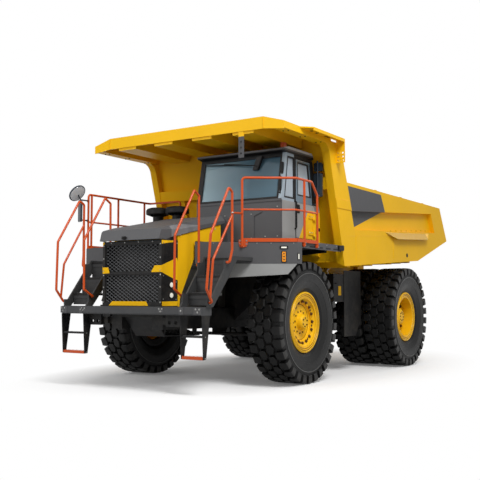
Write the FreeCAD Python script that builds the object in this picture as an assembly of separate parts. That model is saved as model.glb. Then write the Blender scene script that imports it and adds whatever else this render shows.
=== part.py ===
"""Rigid dump truck: box frame, strut suspension, cab beside the engine, tipping body with a canopy.

Millimetres, +Z up, front of the truck towards -Y, +X the truck's left (the cab's side).
The origin is on the ground at the middle of the truck's length and width.
"""
import FreeCAD, Part
import math
import os

V = FreeCAD.Vector

# ---------------------------------------------------------------- overall layout
LENGTH = 9800.0
FRONT_END = -LENGTH / 2
FRONT_AXLE_Y = -2340.0
WHEELBASE = 4360.0
REAR_AXLE_Y = FRONT_AXLE_Y + WHEELBASE
FLAT_GAP = 0.3           # between flat faces of pieces that move against each other
ROUND_GAP = 0.3          # radial, between round faces on different pieces
PANEL_GAP = 8.0          # around doors and lids

# ---------------------------------------------------------------- tyres and rims
TYRE_R = 1085.0
TYRE_W = 655.0
BEAD_R = 444.5
FLANGE_R = 540.0
RIM_W = 432.0
FRONT_TYRE_X = 1715.0
REAR_OUTER_X = 1910.0
REAR_INNER_X = 1170.0
FRONT_DISC_X = 70.0      # front rim's disc, outboard of the tyre's middle
REAR_DISC_X = -60.0      # rear outer rim's disc, inboard of the tyre's middle
HUB_R = 235.0
LUG_COUNT = 20

# ---------------------------------------------------------------- frame
RAIL_IN = 330.0
RAIL_OUT = 550.0
RAIL_LOW = 1000.0
RAIL_TOP_FRONT = 1340.0
PIVOT_Y = 2950.0
PIVOT_Z = 1860.0
PIVOT_R = 60.0
PIVOT_EAR_R = 140.0

# ---------------------------------------------------------------- suspension and steering
KINGPIN_X = 1180.0
STRUT_R = 120.0
STRUT_ROD_R = 85.0
STRUT_LOW = 1520.0
STRUT_TOP = 2260.0
SPINDLE_R = 95.0
ARM_BACK = 420.0         # steering arm, straight back from kingpin to tie rod pin
ARM_Z = 880.0
REAR_STRUT_X = 680.0
REAR_STRUT_R = 88.0
ARM_FRAME_Z = 850.0      # underside of the rear axle's A-frame
ARM_PIN_Y = 740.0

# ---------------------------------------------------------------- hoist cylinders
HOIST_X = 690.0
HOIST_LOW_Y = 500.0
HOIST_LOW_Z = 880.0
HOIST_TOP_Y = 1000.0
HOIST_TOP_Z = 2210.0
HOIST_TUBE_R = 120.0
HOIST_STAGE_R = 98.0
HOIST_ROD_R = 74.0
HOIST_PIN_R = 50.0

# ---------------------------------------------------------------- dump body
BODY_HALF = 2150.0
SIDE_T = 150.0
BODY_FRONT_Y = -1140.0
BODY_LOW_Z = 2115.0
BODY_HEEL_Y = 2800.0
BODY_HEEL_Z = 2360.0
BODY_TAIL_Z = 2940.0
BODY_TOP_Z = 3740.0
POST_LEAN = 0.29         # forward travel of the front post for each unit of height
BEAM_DEPTH = 330.0       # main beams below the line of the sides' lower edge
PAD_T = 10.0
FLOOR_RISE = 110.0       # floor's top above the sides' lower edge
FLOOR_T = 28.0
WALL_BACK = 150.0        # front wall behind the posts' front edge
WALL_T = 30.0
CANOPY_FRONT_Y = -3450.0
CANOPY_TOP_Z = 4610.0
CANOPY_SHOULDER_X = 1750.0
CANOPY_EDGE_Z = 4495.0
CANOPY_T = 20.0
LIP_H = 210.0
WING_X = 2330.0
WING_FRONT_Y = -2700.0
WING_BACK_Y = -1456.0
WING_LOW_Z = 4050.0
RIB_LOW_Z = 4350.0
ARCH_R = 250.0           # between the post's front edge and the canopy's side
COLLAR_T = 10.0
HEM_H = 70.0             # the sides' lower edge is cut back inwards by this much

# ---------------------------------------------------------------- front end
BUMPER_HALF = 1526.0
BUMPER_LOW = 1250.0
BUMPER_TOP = 1380.0
BUMPER_BACK = -4640.0
NOSE_Y = -4790.0
NOSE_HALF = 700.0
NOSE_TOP = 2470.0
HOOD_HALF = 720.0
HOOD_BACK = -3080.0
HOOD_BACK_Z = 3000.0
GRILLE_HALF = 590.0
HOOD_LOW_BACK_Z = 2860.0
HOOD_EDGE = 90.0         # bevel along the hood's top edges
CORNER_BACK = -4440.0    # the nose's front corners are cut back to here
ENGINE_BACK = -2050.0

# ---------------------------------------------------------------- decks and stairs
DECK_Z = 2468.0
DECK_T = 40.0
DECK_HALF = 2200.0
PLATFORM_HALF = 2156.0   # the decks' side edge behind their front corners
DECK_CORNER_Y = -3067.0
RIGHT_CORNER_Y = -3600.0
DECK_BACK = -1340.0
SWEEP = math.tan(math.radians(33.2))
FASCIA_H = 370.0
CORNER_LENGTH = 147.0
STAIR_IN = 1040.0
STAIR_OUT = 1530.0
RAIL_X = 2180.0
RAIL_R = 21.0

# ---------------------------------------------------------------- cab
CAB_RIGHT = -50.0
CAB_LEFT = 1790.0
CAB_WALL = 60.0
CAB_FLOOR_Z = 2500.0
CAB_FRONT_LOW = -2900.0
CAB_FRONT_TOP = -2740.0
CAB_SILL_Z = 3270.0
CAB_TOP_Z = 4100.0
CAB_BACK_LOW = -1460.0
CAB_BACK_TOP = -1760.0
ROOF_T = 110.0
DOOR_FRONT = -2385.0
DOOR_BACK = -1750.0
HINGE_OUT = 24.0         # door hinge pins outside the cab's side
GLASS_T = 12.0


# ================================================================ helpers
def box(x0, x1, y0, y1, z0, z1):
    return Part.makeBox(x1 - x0, y1 - y0, z1 - z0, V(x0, y0, z0))


def prism_x(points, x0, x1):
    """Outline of (y, z) points, carried from x0 to x1."""
    wire = Part.makePolygon([V(x0, y, z) for y, z in points + points[:1]])
    return Part.Face(wire).extrude(V(x1 - x0, 0, 0))


def prism_y(points, y0, y1):
    """Outline of (x, z) points, carried from y0 to y1."""
    wire = Part.makePolygon([V(x, y0, z) for x, z in points + points[:1]])
    return Part.Face(wire).extrude(V(0, y1 - y0, 0))


def prism_z(points, z0, z1):
    """Outline of (x, y) points, carried from z0 to z1."""
    wire = Part.makePolygon([V(x, y, z0) for x, y in points + points[:1]])
    return Part.Face(wire).extrude(V(0, 0, z1 - z0))


def rod(start, end, r):
    a = V(*start)
    d = V(*end) - a
    return Part.makeCylinder(r, d.Length, a, d)


def rod_x(x0, x1, y, z, r):
    return Part.makeCylinder(r, x1 - x0, V(x0, y, z), V(1, 0, 0))


def rod_y(x, y0, y1, z, r):
    return Part.makeCylinder(r, y1 - y0, V(x, y0, z), V(0, 1, 0))


def rod_z(x, y, z0, z1, r):
    return Part.makeCylinder(r, z1 - z0, V(x, y, z0), V(0, 0, 1))


def spin_x(profile, x, y, z):
    """Closed outline of (offset along X, radius) points, turned about the X axis through (y, z)."""
    wire = Part.makePolygon([V(x + a, y, z + r) for a, r in profile + profile[:1]])
    return Part.Face(wire).revolve(V(x, y, z), V(1, 0, 0), 360)


def spin_z(profile, x, y):
    """Closed outline of (radius, z) points, turned about the upright axis through (x, y)."""
    wire = Part.makePolygon([V(x + r, y, z) for r, z in profile + profile[:1]])
    return Part.Face(wire).revolve(V(x, y, 0), V(0, 0, 1), 360)


def soft_box(x0, x1, y0, y1, z0, z1, r):
    """Box whose four edges along Y are rounded."""
    block = box(x0, x1, y0, y1, z0, z1)
    edges = [e for e in block.Edges if abs(e.Vertexes[0].Y - e.Vertexes[1].Y) > y1 - y0 - 1]
    return block.makeFillet(r, edges)


def pipe(points, r, bend):
    """Round bar through the points, with tangent bends at the inner ones."""
    pts = [V(*p) for p in points]
    edges = []
    last = pts[0]
    for i in range(1, len(pts) - 1):
        back = (pts[i - 1] - pts[i]).normalize()
        ahead = (pts[i + 1] - pts[i]).normalize()
        turn = math.pi - back.getAngle(ahead)
        reach = bend * math.tan(turn / 2)
        start = pts[i] + back * reach
        end = pts[i] + ahead * reach
        middle = (back + ahead).normalize()
        centre = pts[i] + middle * (bend / math.cos(turn / 2))
        crown = centre - middle * bend
        edges.append(Part.LineSegment(last, start).toShape())
        edges.append(Part.Arc(start, crown, end).toShape())
        last = end
    edges.append(Part.LineSegment(last, pts[-1]).toShape())
    path = Part.Wire(edges)
    ring = Part.Wire(Part.Circle(pts[0], pts[1] - pts[0], r).toShape())
    return path.makePipeShell([ring], True, False)


def fuse(*shapes):
    body = shapes[0]
    if len(shapes) > 1:
        body = body.multiFuse(list(shapes[1:]))
    return body.removeSplitter()


def mirrored(shape):
    return shape.mirror(V(0, 0, 0), V(1, 0, 0))


def both(shape):
    return [shape, mirrored(shape)]


def tilted(shape, y, z, degrees):
    """Turned about the X axis through (y, z)."""
    turned = shape.copy()
    turned.rotate(V(0, y, z), V(1, 0, 0), degrees)
    return turned


def save(node, *shapes):
    solids = [s for shape in shapes for s in shape.Solids]
    whole = solids[0] if len(solids) == 1 else Part.makeCompound(solids)
    whole.exportStep("parts/" + node + ".step")


# ================================================================ lines that several pieces share
def body_low(y):
    """Height of the dump body's lower edge at y, ahead of its heel."""
    return BODY_LOW_Z + (y - BODY_FRONT_Y) * (BODY_HEEL_Z - BODY_LOW_Z) / (BODY_HEEL_Y - BODY_FRONT_Y)


def rail_top(y):
    return body_low(y) - BEAM_DEPTH - PAD_T - FLAT_GAP


def post_front(z):
    return BODY_FRONT_Y - (z - BODY_LOW_Z) * POST_LEAN


def wall_front(z):
    return post_front(z) + WALL_BACK


def deck_edge(x):
    """Front edge of the deck; the right deck reaches further forward at its outer corner."""
    inner = NOSE_HALF + 40
    root = DECK_CORNER_Y - (DECK_HALF - inner) * SWEEP
    corner = DECK_CORNER_Y if x > 0 else RIGHT_CORNER_Y
    return root + (abs(x) - inner) * (corner - root) / (DECK_HALF - inner)


def cab_front(z):
    rise = max(z - CAB_SILL_Z, 0) / (CAB_TOP_Z - CAB_SILL_Z)
    return CAB_FRONT_LOW + rise * (CAB_FRONT_TOP - CAB_FRONT_LOW)


# ================================================================ wheels
def tyre(x, y):
    half = TYRE_W / 2
    flank = [(RIM_W / 2 - 14, BEAD_R), (RIM_W / 2 - 14, FLANGE_R + 20), (half - 12, 700), (half - 6, 900),
             (half, 985), (half - 8, 1040), (half - 40, 1078), (half - 110, TYRE_R)]
    return spin_x([(-a, r) for a, r in flank[::-1]] + flank, x, y, TYRE_R)


def rim_barrel(x, y):
    half = RIM_W / 2
    profile = [(-half - 12, FLANGE_R), (-half + 14, FLANGE_R), (-half + 14, BEAD_R), (half - 14, BEAD_R),
               (half - 14, FLANGE_R), (half + 12, FLANGE_R), (half + 12, FLANGE_R - 26), (half - 2, BEAD_R - 22),
               (-half + 2, BEAD_R - 22), (-half - 12, FLANGE_R - 26)]
    return spin_x(profile, x, y, TYRE_R)


def front_rim(side):
    x = FRONT_TYRE_X
    disc = spin_x([(FRONT_DISC_X + 95, BEAD_R - 22), (FRONT_DISC_X + 125, BEAD_R - 22),
                   (FRONT_DISC_X + 40, 330), (FRONT_DISC_X + 40, 240), (FRONT_DISC_X + 15, 240),
                   (FRONT_DISC_X + 15, 335)], x, FRONT_AXLE_Y, TYRE_R)
    hub = spin_x([(-230, 250), (-230, SPINDLE_R + ROUND_GAP), (FRONT_DISC_X - 40, SPINDLE_R + ROUND_GAP),
                  (FRONT_DISC_X - 40, 0), (FRONT_DISC_X + 150, 0), (FRONT_DISC_X + 150, 105),
                  (FRONT_DISC_X + 120, 130), (FRONT_DISC_X + 60, 150), (FRONT_DISC_X + 40, 240),
                  (FRONT_DISC_X - 20, 250)], x, FRONT_AXLE_Y, TYRE_R)
    wheel = fuse(rim_barrel(x, FRONT_AXLE_Y), disc, hub)
    return wheel if side > 0 else mirrored(wheel)


def rear_rim(side):
    x = REAR_OUTER_X
    disc = spin_x([(REAR_DISC_X, BEAD_R - 22), (REAR_DISC_X + 30, BEAD_R - 22), (REAR_DISC_X + 30, 240),
                   (REAR_DISC_X, 240)], x, REAR_AXLE_Y, TYRE_R)
    inner = REAR_INNER_X - REAR_OUTER_X
    spacer = spin_x([(inner + RIM_W / 2 - 20, BEAD_R - 60), (REAR_DISC_X, BEAD_R - 60),
                     (REAR_DISC_X, BEAD_R - 22), (-RIM_W / 2, BEAD_R - 22), (inner + RIM_W / 2, BEAD_R - 22),
                     (inner + RIM_W / 2 - 20, BEAD_R - 22)], x, REAR_AXLE_Y, TYRE_R)
    hub = spin_x([(inner - 180, 330), (inner - 180, 200 + ROUND_GAP), (REAR_DISC_X - 60, 200 + ROUND_GAP),
                  (REAR_DISC_X - 60, 0), (REAR_DISC_X + 190, 0), (REAR_DISC_X + 190, 130),
                  (REAR_DISC_X + 165, 170), (REAR_DISC_X + 90, 200), (REAR_DISC_X + 80, 240),
                  (REAR_DISC_X, 330), (inner + 60, 330)], x, REAR_AXLE_Y, TYRE_R)
    web = spin_x([(inner + 60, 320), (inner + 90, 320), (inner + 90, BEAD_R - 22), (inner + 60, BEAD_R - 22)],
                 x, REAR_AXLE_Y, TYRE_R)
    wheel = fuse(rim_barrel(x, REAR_AXLE_Y), rim_barrel(REAR_INNER_X, REAR_AXLE_Y), disc, spacer, hub, web)
    return wheel if side > 0 else mirrored(wheel)


def make_wheels():
    for name, side in (("left", 1), ("right", -1)):
        save("front_tyre_" + name, tyre(side * FRONT_TYRE_X, FRONT_AXLE_Y))
        save("front_rim_" + name, front_rim(side))
        save("rear_tyres_" + name, tyre(side * REAR_OUTER_X, REAR_AXLE_Y), tyre(side * REAR_INNER_X, REAR_AXLE_Y))
        save("rear_rims_" + name, rear_rim(side))


# ================================================================ steering
def make_steering():
    z0 = TYRE_R
    housing = rod_z(KINGPIN_X, FRONT_AXLE_Y, 820, 1400, 120)
    rod_part = rod_z(KINGPIN_X, FRONT_AXLE_Y, 1400, STRUT_LOW - FLAT_GAP, STRUT_ROD_R)
    spindle = rod_x(KINGPIN_X, FRONT_TYRE_X + FRONT_DISC_X - 50, FRONT_AXLE_Y, z0, SPINDLE_R)
    arm = prism_z([(KINGPIN_X - 100, FRONT_AXLE_Y), (KINGPIN_X + 100, FRONT_AXLE_Y),
                   (KINGPIN_X + 55, FRONT_AXLE_Y + ARM_BACK), (KINGPIN_X - 55, FRONT_AXLE_Y + ARM_BACK)],
                  ARM_Z - 25, ARM_Z + 25)
    eye = rod_z(KINGPIN_X, FRONT_AXLE_Y + ARM_BACK, ARM_Z - 25, ARM_Z + 25, 58)
    stud = rod_z(KINGPIN_X, FRONT_AXLE_Y + ARM_BACK, ARM_Z - 110, ARM_Z - 25, 28)
    knuckle = fuse(housing, rod_part, spindle, arm, eye, stud)
    save("knuckle_left", knuckle)
    save("knuckle_right", mirrored(knuckle))
    end_z = ARM_Z - 68
    end_x = KINGPIN_X
    bar = rod_x(-end_x, end_x, FRONT_AXLE_Y + ARM_BACK, end_z, 32)
    tie = bar
    for x in (-end_x, end_x):
        tie = fuse(tie, rod_z(x, FRONT_AXLE_Y + ARM_BACK, end_z - 38, end_z + 38, 55))
    for x in (-end_x, end_x):
        tie = tie.cut(rod_z(x, FRONT_AXLE_Y + ARM_BACK, end_z - 60, end_z + 60, 28 + ROUND_GAP))
    save("tie_rod", tie)


# ================================================================ frame and axles
def rail():
    low = [(BUMPER_BACK, RAIL_LOW), (-1300, RAIL_LOW - 40), (900, RAIL_LOW + 40), (1450, 1540), (2600, 1560),
           (PIVOT_Y - 40, PIVOT_Z - 135), (PIVOT_Y + 60, PIVOT_Z), (PIVOT_Y, PIVOT_Z + PIVOT_EAR_R)]
    top = [(2700, rail_top(2700)), (-1000, rail_top(-1000)), (-1350, RAIL_TOP_FRONT), (-3300, RAIL_TOP_FRONT),
           (-3500, BUMPER_LOW - 10), (BUMPER_BACK, BUMPER_LOW - 10)]
    side = prism_x(low + top, RAIL_IN, RAIL_OUT)
    ear = rod_x(RAIL_IN, RAIL_OUT, PIVOT_Y, PIVOT_Z, PIVOT_EAR_R)
    pin = rod_x(RAIL_OUT - 20, RAIL_OUT + 110, PIVOT_Y, PIVOT_Z, PIVOT_R)
    hoist_plate = prism_x([(310, 1060), (690, 1060), (590, 860), (500, 805), (410, 860)], RAIL_OUT - 90, RAIL_OUT + 5)
    hoist_pin = rod_x(RAIL_OUT, HOIST_X + 70, HOIST_LOW_Y, HOIST_LOW_Z, HOIST_PIN_R)
    tower = prism_y([(RAIL_IN + 10, RAIL_TOP_FRONT), (RAIL_OUT, RAIL_TOP_FRONT), (RAIL_OUT, 1100),
                     (KINGPIN_X - 150, 1500), (KINGPIN_X - 150, 2230), (RAIL_OUT + 60, 2230), (RAIL_IN + 10, 1750)],
                    FRONT_AXLE_Y - 180, FRONT_AXLE_Y + 180)
    clamps = []
    for z in (1580, 2060):
        ring = rod_z(KINGPIN_X, FRONT_AXLE_Y, z, z + 130, STRUT_R + 45)
        clamps.append(ring)
        clamps.append(box(KINGPIN_X - 160, KINGPIN_X - 60, FRONT_AXLE_Y - 120, FRONT_AXLE_Y + 120, z, z + 130))
    strut_pin = rod_x(RAIL_OUT - 20, REAR_STRUT_X + 50, 2450, 1720, 45)
    whole = fuse(side, ear, pin, hoist_plate, hoist_pin, tower, strut_pin, *clamps)
    return whole.cut(rod_z(KINGPIN_X, FRONT_AXLE_Y, 1400, 2400, STRUT_R + ROUND_GAP))


def make_frame():
    rails = both(rail())
    slope = (1200 - 890) / (4570 - 4275)
    cross = [prism_x([(BUMPER_BACK, 1200), (-4570, 1200), (-4520, 1200 - 50 * slope), (-4520, BUMPER_LOW - 10),
                      (BUMPER_BACK, BUMPER_LOW - 10)], -RAIL_IN, RAIL_IN),
             box(-RAIL_IN, RAIL_IN, -1420, -1240, RAIL_LOW + 20, RAIL_TOP_FRONT),
             rod_x(-RAIL_IN - 20, RAIL_IN + 20, 600, 1360, 150),
             rod_x(-RAIL_IN - 20, RAIL_IN + 20, PIVOT_Y, PIVOT_Z, 95)]
    stems = []
    for side in (-1, 1):
        stems.append(box(*sorted((side * 600, side * 730)), BUMPER_BACK - 60, BUMPER_BACK + 60, 1090, 1200))
        stems.append(box(*sorted((side * RAIL_OUT, side * 730)), BUMPER_BACK, BUMPER_BACK + 60, 1090, 1200))
    for side in (-1, 1):
        lo, hi = sorted((side * (95 + ROUND_GAP), side * 125))
        stems.append(prism_x([(540, 1280), (660, 1280), (ARM_PIN_Y + 70, ARM_FRAME_Z + 30),
                              (ARM_PIN_Y, ARM_FRAME_Z - 20), (ARM_PIN_Y - 70, ARM_FRAME_Z + 30)], lo, hi))
    tail = box(-RAIL_OUT, RAIL_OUT, 2560, 2640, 1570, 1760)
    save("chassis_frame", fuse(*rails, *cross, *stems, tail))
    belly = prism_x([(-4590, 1200), (-4570, 1200), (-4275, 890), (-3300, 870), (-3300, 850), (-4290, 868)], -320, 320)
    hangers = [box(*sorted((side * 300, side * RAIL_IN)), -3500, -3400, 855, RAIL_LOW + 50) for side in (-1, 1)]
    save("belly_plate", fuse(belly, *hangers))


def make_tow_gear():
    lugs = []
    for side in (-1, 1):
        x = side * 843
        lug = box(x - 140, x + 140, BUMPER_BACK - 110, BUMPER_BACK - 60, 1060, BUMPER_LOW)
        for hole in (x - 65, x + 65):
            lug = lug.cut(rod((hole, BUMPER_BACK - 200, 1130), (hole, BUMPER_BACK, 1130), 32))
        lugs.append(lug)
    save("tow_lugs", *lugs)
    jaw = fuse(box(-90, 90, 2640, 2900, 1600, 1640), box(-90, 90, 2640, 2900, 1700, 1740),
               box(-90, 90, 2640, 2670, 1600, 1740))
    save("tow_jaw", jaw.cut(rod_z(0, 2830, 1560, 1780, 30)))


def make_struts():
    front = rod_z(KINGPIN_X, FRONT_AXLE_Y, STRUT_LOW, STRUT_TOP, STRUT_R)
    eye_low = V(REAR_STRUT_X, 2400, 1180)
    eye_top = V(REAR_STRUT_X, 2450, 1720)
    axis = (eye_top - eye_low).normalize()
    tube = rod(tuple(eye_low + axis * 180), tuple(eye_top - axis * 50), REAR_STRUT_R)
    stem = rod(tuple(eye_low + axis * 40), tuple(eye_low + axis * 200), REAR_STRUT_R - 24)
    eyes = [rod_x(REAR_STRUT_X - 45, REAR_STRUT_X + 45, p.y, p.z, 78) for p in (eye_low, eye_top)]
    rear = fuse(tube, stem, *eyes)
    for p in (eye_low, eye_top):
        rear = rear.cut(rod_x(REAR_STRUT_X - 80, REAR_STRUT_X + 80, p.y, p.z, 45 + ROUND_GAP))
    save("suspension_struts", *both(front), *both(rear))


def make_rear_axle():
    tube = rod_x(-790, 790, REAR_AXLE_Y, TYRE_R, 205)
    spindles = [rod_x(min(side * 700, side * 1780), max(side * 700, side * 1780), REAR_AXLE_Y, TYRE_R, 200)
                for side in (-1, 1)]
    bowl = Part.makeSphere(390, V(0, REAR_AXLE_Y, TYRE_R)).common(box(-330, 330, 1500, 2600, 600, 1600))
    nose = rod((0, REAR_AXLE_Y - 560, TYRE_R), (0, REAR_AXLE_Y, TYRE_R), 190)
    frame_arm = prism_z([(-500, REAR_AXLE_Y - 60), (500, REAR_AXLE_Y - 60), (88, ARM_PIN_Y + 70),
                         (-88, ARM_PIN_Y + 70)],
                        ARM_FRAME_Z, ARM_FRAME_Z + 100)
    hollow = prism_z([(-300, REAR_AXLE_Y - 420), (300, REAR_AXLE_Y - 420), (90, 1000), (-90, 1000)],
                     ARM_FRAME_Z - 20, ARM_FRAME_Z + 120)
    frame_arm = frame_arm.cut(hollow)
    ball = rod_x(-95, 95, ARM_PIN_Y, ARM_FRAME_Z + 50, 80)
    lugs = []
    for side in (-1, 1):
        lugs.append(prism_x([(2120, 1000), (2440, 1080), (2480, 1180), (2400, 1260), (2140, 1180)],
                            side * 562 - 22, side * 562 + 22))
        lugs.append(rod_x(min(side * 560, side * 740), max(side * 560, side * 740), 2400, 1180, 45))
    axle = fuse(tube, *spindles, bowl, nose, frame_arm, ball, *lugs)
    save("rear_axle", axle)


def make_power():
    save("engine_block", box(-RAIL_IN, RAIL_IN, -3950, ENGINE_BACK, 1080, 2260))
    save("radiator", box(-560, 560, BUMPER_BACK + 20, BUMPER_BACK + 160, BUMPER_LOW - 10, NOSE_TOP - 60))
    gearbox = prism_x([(-1200, 1050), (-1200, 1600), (-300, 1520), (250, 1450), (250, 1020)], -250, 250)
    feet = box(-RAIL_IN, RAIL_IN, -620, -480, 1120, 1220)
    shaft_rear = rod((0, 240, 1115), (0, REAR_AXLE_Y - 590, TYRE_R), 62)
    flange = rod((0, REAR_AXLE_Y - 620, TYRE_R), (0, REAR_AXLE_Y - 560, TYRE_R), 105)
    shaft_front = rod((0, ENGINE_BACK, 1490), (0, -1190, 1490), 70)
    save("driveline", fuse(gearbox, feet, shaft_rear, flange, shaft_front))


# ================================================================ front end
def make_bumper():
    beam = prism_x([(FRONT_END, BUMPER_LOW + 20), (FRONT_END + 20, BUMPER_LOW), (BUMPER_BACK, BUMPER_LOW),
                    (BUMPER_BACK, BUMPER_TOP), (FRONT_END, BUMPER_TOP)], -BUMPER_HALF, BUMPER_HALF)
    uprights = [e for e in beam.Edges if abs(e.Vertexes[0].Y - FRONT_END) < 1 and abs(e.Vertexes[1].Y - FRONT_END) < 1
                and abs(e.Vertexes[0].X - e.Vertexes[1].X) < 1]
    save("front_bumper", beam.makeFillet(60, uprights))
    ladders = []
    for x0, x1 in ((1080, 1520), (-1520, -990)):
        cheek = [(FRONT_END + 20, BUMPER_LOW), (BUMPER_BACK - 30, BUMPER_LOW), (FRONT_END + 130, 570),
                 (FRONT_END + 60, 570)]
        cheeks = [prism_x(cheek, x, x + 14) for x in (x0, x1 - 14)]
        rungs = [box(x0, x1, FRONT_END + 62, FRONT_END + 128, 573, 603),
                 box(x0, x1, FRONT_END + 50, FRONT_END + 165, 905, 930)]
        ladders.append(fuse(*cheeks, *rungs))
    save("boarding_ladders", *ladders)


def corner_cut(shift):
    """Wedge outside the nose's left front corner; shift moves its face inwards."""
    return prism_z([(NOSE_HALF - 60 - shift, FRONT_END), (HOOD_HALF - shift, CORNER_BACK),
                    (HOOD_HALF + 200, CORNER_BACK), (HOOD_HALF + 200, FRONT_END)], 1000, 3400)


def hood_block(outline, half, shift):
    """Hood-shaped block with bevelled top edges and front corners."""
    block = prism_x(outline, -half, half)
    top = [e for e in block.Edges if e.CenterOfMass.y > FRONT_END + 131 and e.CenterOfMass.z > outline[2][1] - 1
           and abs(abs(e.CenterOfMass.x) - half) < 1 and e.BoundBox.YLength > 100]
    block = block.makeChamfer(HOOD_EDGE, top)
    wedge = corner_cut(shift)
    return block.cut(wedge).cut(mirrored(wedge))


def make_nose():
    low, top = BUMPER_TOP, NOSE_TOP
    front = NOSE_HALF - 60
    plate = box(-front, front, NOSE_Y, NOSE_Y + 50, low, top)
    meshes = []
    for z0, z1 in ((1440, 1915), (1945, 2415)):
        plate = plate.cut(box(-GRILLE_HALF, GRILLE_HALF, NOSE_Y - 10, NOSE_Y + 60, z0, z1))
        meshes.append(box(-GRILLE_HALF, GRILLE_HALF, NOSE_Y + 15, NOSE_Y + 40, z0, z1))
    column = prism_z([(front, NOSE_Y), (NOSE_HALF, CORNER_BACK), (front, CORNER_BACK), (front - 40, NOSE_Y + 50),
                      (front - 40, NOSE_Y)], low, top)
    save("nose_frame", fuse(plate, column, mirrored(column)))
    save("grilles", *meshes)
    slope = (HOOD_LOW_BACK_Z - NOSE_TOP - 60) / (HOOD_BACK + 4560)
    side = prism_x([(CORNER_BACK, low), (-4390, low), (-4375, 1520), (-3940, 2270), (-3955, 2490), (-3200, 2490),
                    (-3200, NOSE_TOP + 60 + slope * 1360 - 10), (CORNER_BACK, NOSE_TOP + 60 + slope * 120 - 10)],
                   front, NOSE_HALF)
    save("nose_sides", *both(side))
    skin = [(FRONT_END + 30, NOSE_TOP + 7), (FRONT_END + 90, NOSE_TOP + 185), (-4560, NOSE_TOP + 250),
            (HOOD_BACK, HOOD_BACK_Z), (HOOD_BACK, HOOD_LOW_BACK_Z), (-4560, NOSE_TOP + 60),
            (NOSE_Y + 60, NOSE_TOP + 7)]
    room = [(FRONT_END + 90, NOSE_TOP - 60), (FRONT_END + 130, NOSE_TOP + 145), (-4540, NOSE_TOP + 205),
            (HOOD_BACK - 30, HOOD_BACK_Z - 50), (HOOD_BACK - 30, 2600), (-4560, NOSE_TOP - 60)]
    hood = hood_block(skin, HOOD_HALF, 0).cut(hood_block(room, HOOD_HALF - 30, 30))
    pivot_y, pivot_z = HOOD_BACK + 30, HOOD_BACK_Z - 30
    cowl = box(-HOOD_HALF, HOOD_HALF, pivot_y + 40, CAB_FRONT_LOW - 20, DECK_Z, HOOD_BACK_Z - 40)
    shoulders = [e for e in cowl.Edges if e.CenterOfMass.z > HOOD_BACK_Z - 41 and abs(e.CenterOfMass.x) > HOOD_HALF - 1]
    lids = [hood]
    posts = [cowl.makeChamfer(HOOD_EDGE - 15, shoulders)]
    for side in (-1, 1):
        x = side * 480
        strap = box(x - 40, x + 40, HOOD_BACK - 60, pivot_y, pivot_z - 8, pivot_z + 8)
        lids.append(strap.fuse(rod_x(x - 40, x + 40, pivot_y, pivot_z, 22)))
        for a in (x - 72, x + 42):
            posts.append(rod_x(a, a + 30, pivot_y, pivot_z, 18))
            posts.append(box(a, a + 30, pivot_y, pivot_y + 60, pivot_z - 18, pivot_z + 18))
        posts.append(rod_x(x - 60, x + 60, pivot_y, pivot_z, 9))
    lid = fuse(*lids)
    for side in (-1, 1):
        lid = lid.cut(rod_x(side * 480 - 60, side * 480 + 60, pivot_y, pivot_z, 9 + ROUND_GAP))
    save("hood", lid)
    save("cowl", fuse(*posts))


# ================================================================ decks, stairs, rails
def deck_half(side):
    """One deck: plate, front fascia, corner cheek and the raised edge along its side."""
    inner = NOSE_HALF + 40
    root = deck_edge(side * inner)
    corner = deck_edge(side * DECK_HALF)
    back = corner + CORNER_LENGTH
    plate = prism_z([(side * inner, root), (side * DECK_HALF, corner), (side * DECK_HALF, back),
                     (side * PLATFORM_HALF, back), (side * PLATFORM_HALF, DECK_BACK), (side * inner, DECK_BACK)],
                    DECK_Z - DECK_T, DECK_Z)
    fascia = prism_z([(side * inner, root), (side * DECK_HALF, corner), (side * DECK_HALF, corner + 60),
                      (side * inner, root + 60)], DECK_Z - FASCIA_H, DECK_Z)
    cheek = box(*sorted((side * (DECK_HALF - 50), side * DECK_HALF)), corner, back, DECK_Z - FASCIA_H, DECK_Z)
    edge = box(*sorted((side * (PLATFORM_HALF - 14), side * PLATFORM_HALF)), back, DECK_BACK + 40, 2380, DECK_Z + 32)
    bracket = prism_x([(-1420, 2410), (-1250, 2395), (-1215, 2420), (-1215, 2490), (-1250, 2505), (-1420, 2490)],
                      *sorted((side * PLATFORM_HALF, side * (PLATFORM_HALF + 24))))
    return fuse(plate, fascia, cheek, edge, bracket)


def fender_panel(side):
    corner = deck_edge(side * DECK_HALF)
    low = DECK_Z - FASCIA_H
    x0, x1 = side * 1080, side * (DECK_HALF - 20)
    panel = prism_z([(x0, deck_edge(x0) + 4), (x1, deck_edge(x1) + 4), (x1, deck_edge(x1) + 34),
                     (x0, deck_edge(x0) + 34)], low - 300, low)
    below = prism_x([(-4300, 1600), (-4300, low - 300), (corner - 90, low - 180), (corner, low),
                     (corner + 150, low + 5), (-2500, 2000), (-2500, 1600)], *sorted((side * 900, side * 2300)))
    return panel.cut(below)


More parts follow.
